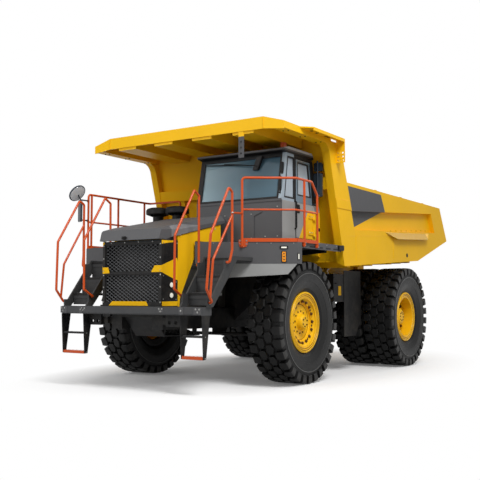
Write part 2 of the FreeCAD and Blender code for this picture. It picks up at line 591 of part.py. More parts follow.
def make_decks():
    middle = box(-NOSE_HALF - 41, NOSE_HALF + 41, HOOD_BACK + 20, DECK_BACK, DECK_Z - DECK_T, DECK_Z)
    feet = [box(x, x + 160, y, y + 160, DECK_Z, CAB_FLOOR_Z) for x in (CAB_RIGHT + 60, CAB_LEFT - 260)
            for y in (CAB_FRONT_LOW + 80, CAB_BACK_LOW - 240)]
    save("decks", fuse(deck_half(1), deck_half(-1), middle, *feet))
    legs = []
    low = DECK_Z - DECK_T
    for side in (-1, 1):
        beam = prism_y([(side * RAIL_OUT, RAIL_TOP_FRONT), (side * (RAIL_OUT - 60), RAIL_TOP_FRONT),
                        (side * (RAIL_OUT - 60), low), (side * (DECK_HALF - 300), low),
                        (side * (DECK_HALF - 300), low - 60), (side * RAIL_OUT, low - 160)],
                       DECK_BACK - 140, DECK_BACK - 60)
        leg = box(*sorted((side * 340, side * (RAIL_OUT - 60))), -3040, -2980, RAIL_TOP_FRONT, low)
        legs += [beam, leg]
    save("deck_supports", *legs)
    save("fender_panels", fender_panel(1), fender_panel(-1))


def flight(side):
    steps = ((-4600, 1600), (-4390, 1880), (-4140, 2170))
    parts = [box(STAIR_IN, STAIR_OUT, y, y + 240, z - 40, z) for y, z in steps]
    parts.append(box(STAIR_IN, STAIR_OUT, steps[2][0], -3000, steps[2][1] - 40, steps[2][1]))
    for x in (STAIR_IN - 30, STAIR_OUT):
        parts.append(prism_x([(-4800, BUMPER_TOP), (BUMPER_BACK, BUMPER_TOP), (-3960, 2140), (-3000, 2140), (-3000, 2200),
                              (-4150, 2200)], x, x + 30))
    for x, y0, y1, z0, z1 in ((STAIR_OUT, -4795, -4700, 1400, 1495), (STAIR_OUT, -4320, -4220, 1980, 2130),
                              (STAIR_IN - 30, -4740, -4630, 1450, 1590), (STAIR_IN - 30, -4330, -4240, 1960, 2100)):
        parts.append(box(x, x + 30, y0, y1, z0, z1))
    whole = fuse(*parts)
    if side < 0:
        whole = mirrored(whole)
    inner, outer = side * 900, side * (STAIR_OUT + 100)
    behind = prism_z([(inner, deck_edge(inner)), (outer, deck_edge(outer)), (outer, -1000), (inner, -1000)], 1000, 3000)
    return whole.cut(behind)


def make_stairs():
    save("stairs", flight(1), flight(-1))


def stair_hoops():
    outer = pipe([(STAIR_OUT + 30, -4745, 1447), (1612, -4745, 1447), (1625, -4915, 1660), (1662, -4858, 2510),
                  (1651, -4350, 3290), (1644, -4240, 3230), (1644, -4240, 2290), (1622, -4280, 2090),
                  (STAIR_OUT + 30, -4280, 2090)], RAIL_R, 45)
    brace = pipe([(1617, -4809, 1524), (1623, -4742, 2115), (1644, -4240, 2850)], RAIL_R - 2, 60)
    inner = pipe([(STAIR_IN - 30, -4670, 1540), (974, -4670, 1540), (980, -4890, 1665), (990, -4890, 2514),
                  (990, -4380, 3290), (985, -4245, 3210), (980, -4238, 2110), (974, -4285, 2050),
                  (STAIR_IN - 30, -4285, 2050)], RAIL_R - 1, 24)
    return outer.fuse(brace), inner


def make_rails():
    outer, inner = stair_hoops()
    top, mid = 3560, 3015
    start = V(1428, -3612, 0)
    out = V(math.sin(math.atan(SWEEP)), -math.cos(math.atan(SWEEP)), 0)
    x, y1, y2 = RAIL_X, DECK_CORNER_Y - 13, -2312
    guard = pipe([(start.x, start.y, 2385), (start.x, start.y, top), (x, y1, top), (x, -2520, top), (x, y2, 3340),
                  (x, y2, 2410)], RAIL_R, 60)
    middle = pipe([(start.x, start.y, mid), (x, y1, mid), (x, y2, mid)], RAIL_R - 4, 60)
    post = rod_z(x, -2790, 2410, top, RAIL_R)
    feet = [rod_x(PLATFORM_HALF, x, y, 2440, 45) for y in (-2790, y2)]
    face = deck_edge(start.x) - start.y
    foot = start - out * (face * math.cos(math.atan(SWEEP)))
    feet.append(rod((foot.x, foot.y, 2415), (foot.x + out.x * 15, foot.y + out.y * 15, 2415), 50))
    boards = [prism_z([(1400, deck_edge(1400) - 2), (DECK_HALF - 8, deck_edge(DECK_HALF - 8) - 2),
                       (DECK_HALF - 8, deck_edge(DECK_HALF - 8) - 12), (1400, deck_edge(1400) - 12)], DECK_Z, 2530),
              box(x - 6, DECK_HALF, y1 + 13, y1 + 60, DECK_Z, 2530),
              box(x + 2, x + 12, y1 + 4, y2, DECK_Z + 2, 2530)]
    link = rod((1644, -4240, 2890), (start.x, start.y, 2950), RAIL_R - 4)
    left = fuse(guard, middle, post, *feet, *boards, link, outer)
    y1, y2 = RIGHT_CORNER_Y + 20, -1720
    guard = pipe([(-x, y1, DECK_Z), (-x, y1, 3530), (-x, y2, 3530), (-1350, y2, 3530), (-1350, y2, DECK_Z)], RAIL_R, 60)
    bars = [pipe([(-x, y1, 2990), (-x, y2, 2990), (-1350, y2, 2990)], RAIL_R - 4, 60),
            rod_z(-x, y1 + 90, DECK_Z, 3530, RAIL_R)]
    bars += [rod_z(-x, y, 2410, 3530, RAIL_R) for y in (-2720, -1900)]
    feet = [rod_x(-x, -PLATFORM_HALF, y, 2440, 45) for y in (-2720, -1900)]
    board = box(-x - 12, -x - 2, y1, -1900, DECK_Z + 2, 2530)
    pads = [box(-x - 22, -x + 22, y1 - RAIL_R, y1, z, z + 50) for z in (2990, 3380)]
    right = fuse(guard, *bars, *feet, board, *pads)
    save("handrails", left, inner, right, mirrored(outer), mirrored(inner))


def make_side_tanks():
    tank = box(RAIL_OUT, 1420, -760, -180, 1000, 1980)
    seams = [e for e in tank.Edges if e.BoundBox.YLength > 100 and e.CenterOfMass.x > 1400]
    save("fuel_tank", tank.makeFillet(60, seams))
    save("battery_box", box(1420, 1650, -630, -150, 1430, 1990).cut(box(1440, 1630, -610, -170, 1450, 1970)))
    hyd = rod((-980, -800, 1500), (-980, 60, 1500), 360).fuse(box(-980 + 340, -RAIL_OUT, -650, -100, 1300, 1700))
    save("hydraulic_tank", hyd.removeSplitter())
    shield = prism_x([(-130, 2070), (-130, 720), (420, 720), (680, 1080), (680, 2070)], 1638, 1650)
    arm = box(RAIL_OUT, 1640, 100, 160, 1700, 1760)
    save("mudguards", *both(box(RAIL_OUT, 1500, -905, -893, 1100, 2010)), *both(fuse(shield, arm)))


def make_air_cleaners():
    shapes = []
    for x in (-1080, -600):
        can = rod_z(x, -2740, DECK_Z, 2990, 150)
        neck = rod_z(x, -2775, 2960, 3130, 105)
        cap = spin_z([(0, 3110), (110, 3110), (222, 3135), (230, 3150), (230, 3215), (205, 3250), (150, 3268), (0, 3275)],
                     x, -2790)
        shapes.append(fuse(can, neck, cap))
    save("air_cleaners", *shapes)


# ================================================================ cab
def cab_profile(inset):
    return [(CAB_FRONT_LOW + inset, CAB_FLOOR_Z + inset), (CAB_BACK_LOW - inset, CAB_FLOOR_Z + inset),
            (CAB_BACK_LOW - inset, 3100), (CAB_BACK_TOP - inset, CAB_TOP_Z + (5 if inset else 0)),
            (CAB_FRONT_TOP + inset, CAB_TOP_Z + (5 if inset else 0)), (CAB_FRONT_LOW + inset, CAB_SILL_Z)]


def door_outline(grow):
    return [(DOOR_FRONT - grow, 2600 - grow), (DOOR_BACK + grow, 2600 - grow), (DOOR_BACK + grow, 3300),
            (DOOR_BACK + grow - 130, 4040 + grow), (DOOR_FRONT - grow, 4040 + grow)]


def make_cab():
    shell = prism_x(cab_profile(0), CAB_RIGHT, CAB_LEFT).cut(
        prism_x(cab_profile(CAB_WALL), CAB_RIGHT + CAB_WALL, CAB_LEFT - CAB_WALL))
    wall = CAB_WALL
    windscreen = box(CAB_RIGHT + 80, CAB_LEFT - 80, -3000, -2600, CAB_SILL_Z + 10, CAB_TOP_Z - 50)
    quarter = prism_x([(-2800, 3300), (DOOR_FRONT - 70, 3300), (DOOR_FRONT - 70, 4030), (-2680, 4030)],
                      CAB_LEFT - wall - 5, CAB_LEFT + 5)
    right_win = prism_x([(-2790, 3300), (-1900, 3300), (-1900, 4030), (-2680, 4030)], CAB_RIGHT - 5, CAB_RIGHT + wall + 5)
    rear_win = box(CAB_RIGHT + 300, CAB_LEFT - 300, -1900, -1400, 3350, 3950)
    doorway = prism_x(door_outline(PANEL_GAP), CAB_LEFT - wall - 5, CAB_LEFT + 5)
    shell = shell.cut(windscreen).cut(quarter).cut(right_win).cut(rear_win).cut(doorway)
    hinge_y, hinge_x = DOOR_BACK + PANEL_GAP / 2, CAB_LEFT + HINGE_OUT
    lugs = []
    for z in (2680, 2980):
        for a in (z - 22, z + 82):
            lugs.append(box(CAB_LEFT - 10, hinge_x + 14, hinge_y + 6, hinge_y + 80, a, a + 20))
        lugs.append(rod_z(hinge_x, hinge_y, z - 10, z + 90, 9))
        for a in (z - 22, z + 82):
            lugs.append(rod_z(hinge_x, hinge_y, a, a + 20, 20))
    shell = fuse(shell, *lugs)
    save("cab_shell", shell)
    roof = prism_x([(CAB_FRONT_TOP - 130, CAB_TOP_Z + 20), (CAB_FRONT_TOP - 130, CAB_TOP_Z + 60),
                    (CAB_FRONT_TOP + 60, CAB_TOP_Z + ROOF_T), (CAB_BACK_TOP - 40, CAB_TOP_Z + ROOF_T),
                    (CAB_BACK_TOP + 20, CAB_TOP_Z + 40), (CAB_BACK_TOP + 20, CAB_TOP_Z), (CAB_FRONT_TOP, CAB_TOP_Z)],
                   CAB_RIGHT - 10, CAB_LEFT + 20)
    save("cab_roof", roof)
    door = prism_x(door_outline(0), CAB_LEFT - wall, CAB_LEFT)
    window = prism_x([(DOOR_FRONT + 60, 3380), (DOOR_BACK - 75, 3380), (DOOR_BACK - 185, 3970), (DOOR_FRONT + 60, 3970)],
                     CAB_LEFT - wall - 5, CAB_LEFT + 5)
    door = door.cut(window)
    straps = []
    for z in (2680, 2980):
        straps.append(box(CAB_LEFT + 0, CAB_LEFT + 14, hinge_y - 180, hinge_y - 5, z, z + 80))
        straps.append(box(CAB_LEFT + 4, hinge_x, hinge_y - 20, hinge_y, z, z + 80))
        straps.append(rod_z(hinge_x, hinge_y, z, z + 80, 20))
    door = fuse(door, *straps)
    for z in (2680, 2980):
        door = door.cut(rod_z(hinge_x, hinge_y, z - 5, z + 85, 9 + ROUND_GAP))
    save("cab_door", door)
    pane = prism_x([(DOOR_FRONT + 60, 3380), (DOOR_BACK - 75, 3380), (DOOR_BACK - 185, 3970), (DOOR_FRONT + 60, 3970)],
                   CAB_LEFT - 30, CAB_LEFT - 30 + GLASS_T)
    save("door_glass", pane)
    lean = [(cab_front(z) + 20, z) for z in (CAB_SILL_Z + 10, CAB_TOP_Z - 50)]
    screen = prism_x(lean + [(y + GLASS_T, z) for y, z in lean[::-1]], CAB_RIGHT + 80, CAB_LEFT - 80)
    q = prism_x([(-2800, 3300), (DOOR_FRONT - 70, 3300), (DOOR_FRONT - 70, 4030), (-2680, 4030)],
                CAB_LEFT - 30, CAB_LEFT - 30 + GLASS_T)
    rw = prism_x([(-2790, 3300), (-1900, 3300), (-1900, 4030), (-2680, 4030)], CAB_RIGHT + 20, CAB_RIGHT + 20 + GLASS_T)
    save("cab_glass", screen, q, rw)


def make_interior():
    z = CAB_FLOOR_Z + CAB_WALL
    cx = 870.0
    base = box(cx - 200, cx + 200, -2180, -1780, z, z + 330)
    back = box(cx - 150, cx + 150, -1639.7, -1620, z + 200, z + 1000)
    link = box(cx - 150, cx + 150, -1800, -1620, z + 200, z + 260)
    save("seat_frame", fuse(base, back, link))
    save("seat_pads", box(cx - 250, cx + 250, -2250, -1750, z + 330.3, z + 450),
         box(cx - 240, cx + 240, -1749.7, -1640, z + 340, z + 1100))
    dash = prism_x([(-2835, z), (-2650, z), (-2600, 3150), (-2700, 3255), (-2835, 3255)], CAB_RIGHT + 100, CAB_LEFT - 100)
    column = rod((cx, -2640, 3100), (cx, -2440, 3260), 35)
    wheel = Part.makeTorus(205, 18, V(cx, -2440, 3260), V(0, 0.78, 0.62))
    spokes = [rod((cx - 200, -2440, 3260), (cx + 200, -2440, 3260), 12)]
    save("dashboard", fuse(dash, column, wheel, *spokes))


def make_fittings():
    pole_y = -1712.0
    left = fuse(rod((1880, pole_y, 3240), (1880, pole_y, 4080), 16),
                rod((CAB_LEFT + ROUND_GAP, pole_y, 3260), (1880, pole_y, 3260), 14),
                soft_box(1800, 1968, pole_y + 5, pole_y + 50, 3885, 4050, 35),
                soft_box(1795, 1968, pole_y + 5, pole_y + 50, 3400, 3850, 35))
    front = RIGHT_CORNER_Y - 1
    arm = pipe([(-RAIL_X, front, 3405), (-RAIL_X, -3800, 3405), (-RAIL_X, -3800, 3015), (-RAIL_X, front, 3015)], 14, 40)
    flat = soft_box(-RAIL_X - 90, -RAIL_X + 90, -3822, -3782, 2975, 3400, 40)
    flat.rotate(V(-RAIL_X, -3800, 0), V(0, 0, 1), -30)
    face = V(0.87, -0.02, -0.67).normalize()
    centre = V(-2165, -3905, 3520)
    bowl = rod(tuple(centre - face * 14), tuple(centre + face * 14), 178)
    bowl = bowl.makeFillet(10, [e for e in bowl.Edges if e.Length > 900])
    stalk = rod(tuple(centre), (-RAIL_X, -3785, 3395), 13)
    save("mirrors", left, fuse(arm, flat, bowl, stalk))
    save("beacon", rod_z(1600, -2500, CAB_TOP_Z + ROOF_T, CAB_TOP_Z + ROOF_T + 115, 60))


# ================================================================ dump body
def side_outline():
    top_post = 4440.0
    turn = math.atan(POST_LEAN)
    reach = ARCH_R / math.tan((math.pi / 2 + turn) / 2)
    under = CANOPY_EDGE_Z - 120
    arch_y = post_front(under) - reach
    foot_z = under - reach * math.cos(turn)
    return [(BODY_FRONT_Y, BODY_LOW_Z), (BODY_HEEL_Y, BODY_HEEL_Z), (LENGTH / 2, BODY_TAIL_Z), (4390, BODY_TOP_Z),
            (-1000, BODY_TOP_Z), (-1270, top_post), (arch_y, top_post), (arch_y, under), (post_front(foot_z), foot_z)]


def post_back(z):
    return -700 - (z - 2890) * 0.38


def whole_side():
    """The left side before its recess, with the arch that carries the post into the canopy."""
    inner = BODY_HALF - SIDE_T
    outline = side_outline()
    arch_y, under = outline[7]
    return prism_x(outline, inner, BODY_HALF).cut(rod_x(inner - 5, BODY_HALF + 5, arch_y, under - ARCH_R, ARCH_R))


def rock_flap():
    a, b = V(BODY_HALF - 10, 820, 2915), V(BODY_HALF - 10, 3590, 3060)
    c, d = V(BODY_HALF + 95, 3250, 2877), V(BODY_HALF + 95, 1340, 2777)
    along = (b - a).normalize()
    out = (d - a) - along * (d - a).dot(along)
    c = a + out + along * (c - a).dot(along)
    d = a + out + along * (d - a).dot(along)
    face = Part.Face(Part.makePolygon([a, b, c, d, a]))
    return face.extrude(along.cross(out).normalize() * 12)


def dump_side():
    inner = BODY_HALF - SIDE_T
    recess = prism_x([(post_back(2840), 2840), (3990, 3090), (3750, 3540), (post_back(3200), 3200)],
                     BODY_HALF - 100, BODY_HALF + 5)
    slope = (BODY_HEEL_Z - BODY_LOW_Z) / (BODY_HEEL_Y - BODY_FRONT_Y)
    hem = prism_y([(inner - 5, BODY_LOW_Z - 60), (BODY_HALF, BODY_LOW_Z), (inner - 5, BODY_LOW_Z + HEM_H)],
                  BODY_FRONT_Y - 100, BODY_HEEL_Y)
    hem = tilted(hem, BODY_FRONT_Y, BODY_LOW_Z, math.degrees(math.atan(slope)))
    collar = prism_x([(post_front(3210), 3210), (post_back(3210), 3210), (post_back(3380), 3380),
                      (post_front(3380), 3380)], BODY_HALF - 20, BODY_HALF + COLLAR_T)
    panel = whole_side().cut(recess).cut(hem)
    panel = fuse(panel, collar, rock_flap())
    return panel.cut(rod_x(BODY_HALF - 30, BODY_HALF + 5, 2110, 2450, 26))


def make_dump_body():
    inner = BODY_HALF - SIDE_T
    side = dump_side()
    save("dump_side_left", side)
    save("dump_side_right", mirrored(side))
    front_y = wall_front(BODY_LOW_Z + FLOOR_RISE)
    rise = FLOOR_RISE

    def top(y):
        return body_low(y) + rise
    tail_y = LENGTH / 2
    tail_top = BODY_TAIL_Z + rise
    heel_top = BODY_HEEL_Z + rise
    floor = prism_x([(front_y, top(front_y) - FLOOR_T), (BODY_HEEL_Y, heel_top - FLOOR_T),
                     (tail_y - 15, tail_top - FLOOR_T), (tail_y - 15, tail_top), (BODY_HEEL_Y, heel_top),
                     (front_y, top(front_y))], -inner, inner)
    plates = [floor]
    for y in (-650, -100, 450, 1500, 2050, 2600):
        z = top(y) - FLOOR_T
        plates.append(prism_x([(y - 90, top(y - 90) - FLOOR_T + 5), (y - 60, z - 120), (y + 60, z - 120),
                               (y + 90, top(y + 90) - FLOOR_T + 5)], -inner, inner))
    for y in (3400, 4200):
        slope = (BODY_TAIL_Z - BODY_HEEL_Z) / (tail_y - BODY_HEEL_Y)
        z = heel_top + (y - BODY_HEEL_Y) * slope - FLOOR_T
        plates.append(prism_x([(y - 90, z - 90 * slope + 5), (y - 60, z - 120), (y + 60, z - 120 + 30),
                               (y + 90, z + 90 * slope + 5)], -inner, inner))
    plate = fuse(*plates)
    save("dump_floor", plate)
    low = BEAM_DEPTH + PAD_T
    under = []
    for sign in (-1, 1):
        x0 = sign * (RAIL_IN + RAIL_OUT) / 2 - 90
        y1 = 2700.0
        parts = [prism_x([(y, body_low(y) - low), (y + 300, body_low(y + 300) - low),
                          (y + 300, body_low(y + 300) - low + PAD_T + 5), (y, body_low(y) - low + PAD_T + 5)],
                         x0, x0 + 180) for y in (-800, 300, 1300, 2300)]
        parts.append(prism_x([(-900, body_low(-900) - BEAM_DEPTH), (y1, body_low(y1) - BEAM_DEPTH),
                              (y1 + 150, body_low(y1) - BEAM_DEPTH + 60), (3300, heel_top + 40), (y1, top(y1) - 10),
                              (-900, top(-900) - 10)], x0, x0 + 180))
        under.append(fuse(*parts))
        lo, hi = sorted((sign * (RAIL_OUT + 15), sign * (RAIL_OUT + 85)))
        ear = prism_x([(PIVOT_Y - 120, PIVOT_Z), (PIVOT_Y - 220, heel_top - 10),
                       (PIVOT_Y + 220, heel_top + 60), (PIVOT_Y + 120, PIVOT_Z)], lo, hi)
        ear = fuse(ear, rod_x(lo, hi, PIVOT_Y, PIVOT_Z, 120))
        under.append(ear.cut(rod_x(lo - 5, hi + 5, PIVOT_Y, PIVOT_Z, PIVOT_R + ROUND_GAP)))
        for a in (HOIST_X - 78, HOIST_X + 48):
            lo, hi = sorted((sign * a, sign * (a + 30)))
            under.append(prism_x([(HOIST_TOP_Y - 60, HOIST_TOP_Z - 60),
                                  (HOIST_TOP_Y - 140, top(HOIST_TOP_Y - 140) - 10),
                                  (HOIST_TOP_Y + 140, top(HOIST_TOP_Y + 140) - 10),
                                  (HOIST_TOP_Y + 60, HOIST_TOP_Z - 60)], lo, hi))
    save("dump_beams", *[piece.cut(plate) for piece in under])
    z0 = top(front_y)
    z1 = CANOPY_TOP_Z - CANOPY_T
    wall = prism_x([(wall_front(z0), z0), (wall_front(z0) + WALL_T, z0), (wall_front(z1) + WALL_T, z1),
                    (wall_front(z1), z1)], -inner, inner).cut(floor)
    over = prism_y([(CANOPY_SHOULDER_X - 5, CANOPY_TOP_Z - CANOPY_T), (BODY_HALF - 20, CANOPY_EDGE_Z - 15),
                    (BODY_HALF, 5000), (-BODY_HALF, 5000), (-BODY_HALF + 20, CANOPY_EDGE_Z - 15),
                    (-CANOPY_SHOULDER_X + 5, CANOPY_TOP_Z - CANOPY_T)], -3000, -1000)
    wall = wall.cut(over)
    beam = prism_x([(wall_front(3560), 3560), (wall_front(3560) - 140, 3560), (wall_front(3780) - 140, 3780),
                    (wall_front(3780), 3780)], -inner, inner)
    ribs = [prism_x([(wall_front(2300), 2300), (wall_front(2330) - 70, 2330), (wall_front(3565) - 70, 3565),
                     (wall_front(3565), 3565)], x - 70, x + 70) for x in (-1500, -750, 0, 750, 1500)]
    save("dump_front_wall", fuse(wall, beam, *ribs))
    back = wall_front(z1) + WALL_T
    hat = [(-BODY_HALF, CANOPY_EDGE_Z - 120), (-BODY_HALF, CANOPY_EDGE_Z), (-CANOPY_SHOULDER_X, CANOPY_TOP_Z),
           (CANOPY_SHOULDER_X, CANOPY_TOP_Z), (BODY_HALF, CANOPY_EDGE_Z), (BODY_HALF, CANOPY_EDGE_Z - 120),
           (BODY_HALF - 20, CANOPY_EDGE_Z - 120), (BODY_HALF - 20, CANOPY_EDGE_Z - 15),
           (CANOPY_SHOULDER_X - 5, CANOPY_TOP_Z - CANOPY_T), (-CANOPY_SHOULDER_X + 5, CANOPY_TOP_Z - CANOPY_T),
           (-BODY_HALF + 20, CANOPY_EDGE_Z - 15), (-BODY_HALF + 20, CANOPY_EDGE_Z - 120)]
    canopy = prism_y(hat, CANOPY_FRONT_Y, back)
    lip = prism_y([(-BODY_HALF, CANOPY_EDGE_Z - 140), (-BODY_HALF, CANOPY_EDGE_Z), (-CANOPY_SHOULDER_X, CANOPY_TOP_Z),
                   (CANOPY_SHOULDER_X, CANOPY_TOP_Z), (BODY_HALF, CANOPY_EDGE_Z), (BODY_HALF, CANOPY_EDGE_Z - 140),
                   (CANOPY_SHOULDER_X, CANOPY_TOP_Z - LIP_H), (-CANOPY_SHOULDER_X, CANOPY_TOP_Z - LIP_H)],
                  CANOPY_FRONT_Y, CANOPY_FRONT_Y + 25)
    ribs = [prism_y([(x - 250, CANOPY_TOP_Z - CANOPY_T + 5), (x - 212, RIB_LOW_Z), (x + 212, RIB_LOW_Z),
                     (x + 250, CANOPY_TOP_Z - CANOPY_T + 5)], CANOPY_FRONT_Y + 20, wall_front(z1) - 5)
            for x in (-1325, -440, 440, 1325)]
    parts = [canopy, lip] + ribs
    for turn in (lambda s: s, mirrored):
        parts.append(turn(prism_y([(BODY_HALF - 210, CANOPY_EDGE_Z - 120), (BODY_HALF, CANOPY_EDGE_Z - 120),
                                   (BODY_HALF, CANOPY_EDGE_Z), (BODY_HALF - 210, CANOPY_EDGE_Z + 45)],
                                  CANOPY_FRONT_Y + 20, wall_front(z1) - 5)))
        wing = [prism_z([(BODY_HALF - 20, WING_FRONT_Y - 200), (BODY_HALF, WING_FRONT_Y - 180),
                         (WING_X, WING_FRONT_Y), (WING_X, WING_BACK_Y), (BODY_HALF, WING_BACK_Y),
                         (BODY_HALF, back), (BODY_HALF - 20, back)], CANOPY_EDGE_Z - 20, CANOPY_EDGE_Z),
                box(WING_X - 12, WING_X, WING_FRONT_Y, WING_BACK_Y, CANOPY_EDGE_Z - 60, CANOPY_EDGE_Z)]
        screen = box(BODY_HALF, WING_X, WING_BACK_Y - 12, WING_BACK_Y, WING_LOW_Z, CANOPY_EDGE_Z)
        for x in (2192, 2240, 2288):
            for z in (4092, 4164, 4236):
                screen = screen.cut(rod_y(x, WING_BACK_Y - 30, WING_BACK_Y + 30, z, 19))
        for s in wing + [screen]:
            parts.append(turn(s))
    stay = box(1244, 1348, CANOPY_FRONT_Y + 5, CANOPY_FRONT_Y + 25, 3940, CANOPY_TOP_Z - LIP_H + 20)
    canopy = fuse(*parts, stay)
    for s in both(whole_side()):
        canopy = canopy.cut(s)
    save("dump_canopy", canopy)


# ================================================================ hoists
def make_hoists():
    low = V(HOIST_X, HOIST_LOW_Y, HOIST_LOW_Z)
    top = V(HOIST_X, HOIST_TOP_Y, HOIST_TOP_Z)
    axis = top - low
    reach = axis.Length
    axis.normalize()

    def along(s):
        return tuple(low + axis * s)
    tube_end = reach - 230
    tube = rod(along(90), along(tube_end), HOIST_TUBE_R)
    eye = rod_x(HOIST_X - 48, HOIST_X + 48, HOIST_LOW_Y, HOIST_LOW_Z, 95)
    tube = fuse(tube, eye).cut(rod(along(140), along(tube_end + 5), HOIST_STAGE_R + ROUND_GAP))
    tube = tube.cut(rod_x(HOIST_X - 60, HOIST_X + 60, HOIST_LOW_Y, HOIST_LOW_Z, HOIST_PIN_R + ROUND_GAP))
    stage = rod(along(150), along(tube_end + 25), HOIST_STAGE_R).cut(
        rod(along(175), along(tube_end + 40), HOIST_ROD_R + ROUND_GAP))
    rod_body = fuse(rod(along(185), along(reach - 160), HOIST_ROD_R), rod(along(reach - 170), along(reach - 30), 40))
    head = rod_x(HOIST_X - 42, HOIST_X + 42, HOIST_TOP_Y, HOIST_TOP_Z, 80)
    ram = fuse(rod_body, head)
    for name, turn in (("left", lambda s: s), ("right", mirrored)):
        save("hoist_tube_" + name, turn(tube))
        save("hoist_stage_" + name, turn(stage))
        save("hoist_rod_" + name, turn(ram))


os.makedirs("parts", exist_ok=True)
make_wheels()
make_steering()
make_frame()
make_tow_gear()
make_struts()
make_rear_axle()
make_power()
make_bumper()
make_nose()
make_decks()
make_stairs()
make_rails()
make_side_tanks()
make_air_cleaners()
make_cab()
make_interior()
make_fittings()
make_dump_body()
make_hoists()
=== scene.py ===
"""Looks of the rigid dump truck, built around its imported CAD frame."""

import math
from functools import reduce
from itertools import product

import bmesh
import bpy
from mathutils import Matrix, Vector


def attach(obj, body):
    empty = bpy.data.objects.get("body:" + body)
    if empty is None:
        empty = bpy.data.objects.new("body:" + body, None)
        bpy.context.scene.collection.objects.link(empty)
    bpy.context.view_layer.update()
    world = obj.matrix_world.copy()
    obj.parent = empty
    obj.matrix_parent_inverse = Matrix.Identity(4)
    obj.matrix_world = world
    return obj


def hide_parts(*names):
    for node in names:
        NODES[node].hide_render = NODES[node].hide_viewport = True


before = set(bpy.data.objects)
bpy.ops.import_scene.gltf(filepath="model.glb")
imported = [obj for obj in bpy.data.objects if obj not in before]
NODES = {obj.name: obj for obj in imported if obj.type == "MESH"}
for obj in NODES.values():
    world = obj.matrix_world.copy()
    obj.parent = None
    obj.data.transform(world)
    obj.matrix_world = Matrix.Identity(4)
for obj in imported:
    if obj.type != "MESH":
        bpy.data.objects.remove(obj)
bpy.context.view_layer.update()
COLLECTION = bpy.context.scene.collection


# ---------- materials
def rgb(r, g, b):
    """Linear colour from the 0-255 values that a screen shows."""
    return tuple(((c / 255 + 0.055) / 1.055) ** 2.4 if c > 10 else c / 255 / 12.92 for c in (r, g, b))


class Tree:
    """The node tree of a material or a world, with short calls for what the finishes need."""

    def __init__(self, name, home=bpy.data.materials):
        self.owner = home.new(name)
        self.owner.use_nodes = True
        self.tree = self.owner.node_tree
        self.shader = self.tree.nodes.get("Principled BSDF")
        self.coords = self.add("ShaderNodeTexCoord").outputs["Object"]

    def add(self, kind, inputs=(), **settings):
        """A new node with some inputs' values and settings."""
        node = self.tree.nodes.new(kind)
        for key, value in settings.items():
            setattr(node, key, value)
        for key, value in dict(inputs).items():
            node.inputs[key].default_value = value
        return node

    def link(self, a, b):
        self.tree.links.new(a, b)

    def noise(self, scale, detail=3.0, rough=0.55, stretch=(1, 1, 1)):
        node = self.add("ShaderNodeTexNoise", {"Scale": scale, "Detail": detail, "Roughness": rough})
        mapping = self.add("ShaderNodeMapping", {"Scale": stretch})
        self.link(self.coords, mapping.inputs["Vector"])
        self.link(mapping.outputs["Vector"], node.inputs["Vector"])
        return node.outputs["Fac"]

    def ramp(self, factor, low, high, at_low=0.0, at_high=1.0):
        limits = {"From Min": low, "From Max": high, "To Min": at_low, "To Max": at_high}
        node = self.add("ShaderNodeMapRange", limits)
        self.link(factor, node.inputs["Value"])
        return node.outputs["Result"]

    def math(self, kind, a, b, within=0.006):
        node = self.add("ShaderNodeMath", {2: within}, operation=kind)
        for socket, value in zip(node.inputs, (a, b)):
            if isinstance(value, float):
                socket.default_value = value
            else:
                self.link(value, socket)
        return node.outputs[0]

    def times(self, a, b):
        return self.math("MULTIPLY", a, b)

    def mix(self, factor, a, b):
        node = self.add("ShaderNodeMix", data_type="RGBA")
        if isinstance(factor, float):
            node.inputs["Factor"].default_value = factor
        else:
            self.link(factor, node.inputs["Factor"])
        for socket, value in ((node.inputs[6], a), (node.inputs[7], b)):
            if isinstance(value, tuple):
                socket.default_value = (*value[:3], 1)
            else:
                self.link(value, socket)
        return node.outputs[2]

    def place(self):
        split = self.add("ShaderNodeSeparateXYZ")
        self.link(self.coords, split.inputs[0])
        return split.outputs

    def blend(self, factor, a, b, output):
        """Two shaders mixed into the tree's output."""
        node = self.add("ShaderNodeMixShader")
        for source, socket in zip((factor, a.outputs[0], b.outputs[0]), node.inputs):
            self.link(source, socket)
        self.link(node.outputs[0], self.tree.nodes[output].inputs["Surface"])

    def finish(self, base, gloss, low, high, grain=None, depth=0.0, reach=0.002, **values):
        """Colour, roughness from low to high by gloss, bump by grain, and the shader's other values."""
        self.link(base, self.shader.inputs["Base Color"])
        self.link(self.ramp(gloss, 0.2, 0.8, low, high), self.shader.inputs["Roughness"])
        if grain:
            node = self.add("ShaderNodeBump", {"Strength": depth, "Distance": reach})
            self.link(grain, node.inputs["Height"])
            self.link(node.outputs["Normal"], self.shader.inputs["Normal"])
        for key, value in values.items():
            self.shader.inputs[key.replace("_", " ")].default_value = value
        return self.owner


def shade(color, k):
    """The colour made k times as light."""
    return tuple(min(1.0, c * k) for c in color)


def clouded(t, factor, color, low, high):
    """The colour drifting between two shades of it."""
    return t.mix(t.ramp(factor, 0.3, 0.7), shade(color, low), shade(color, high))


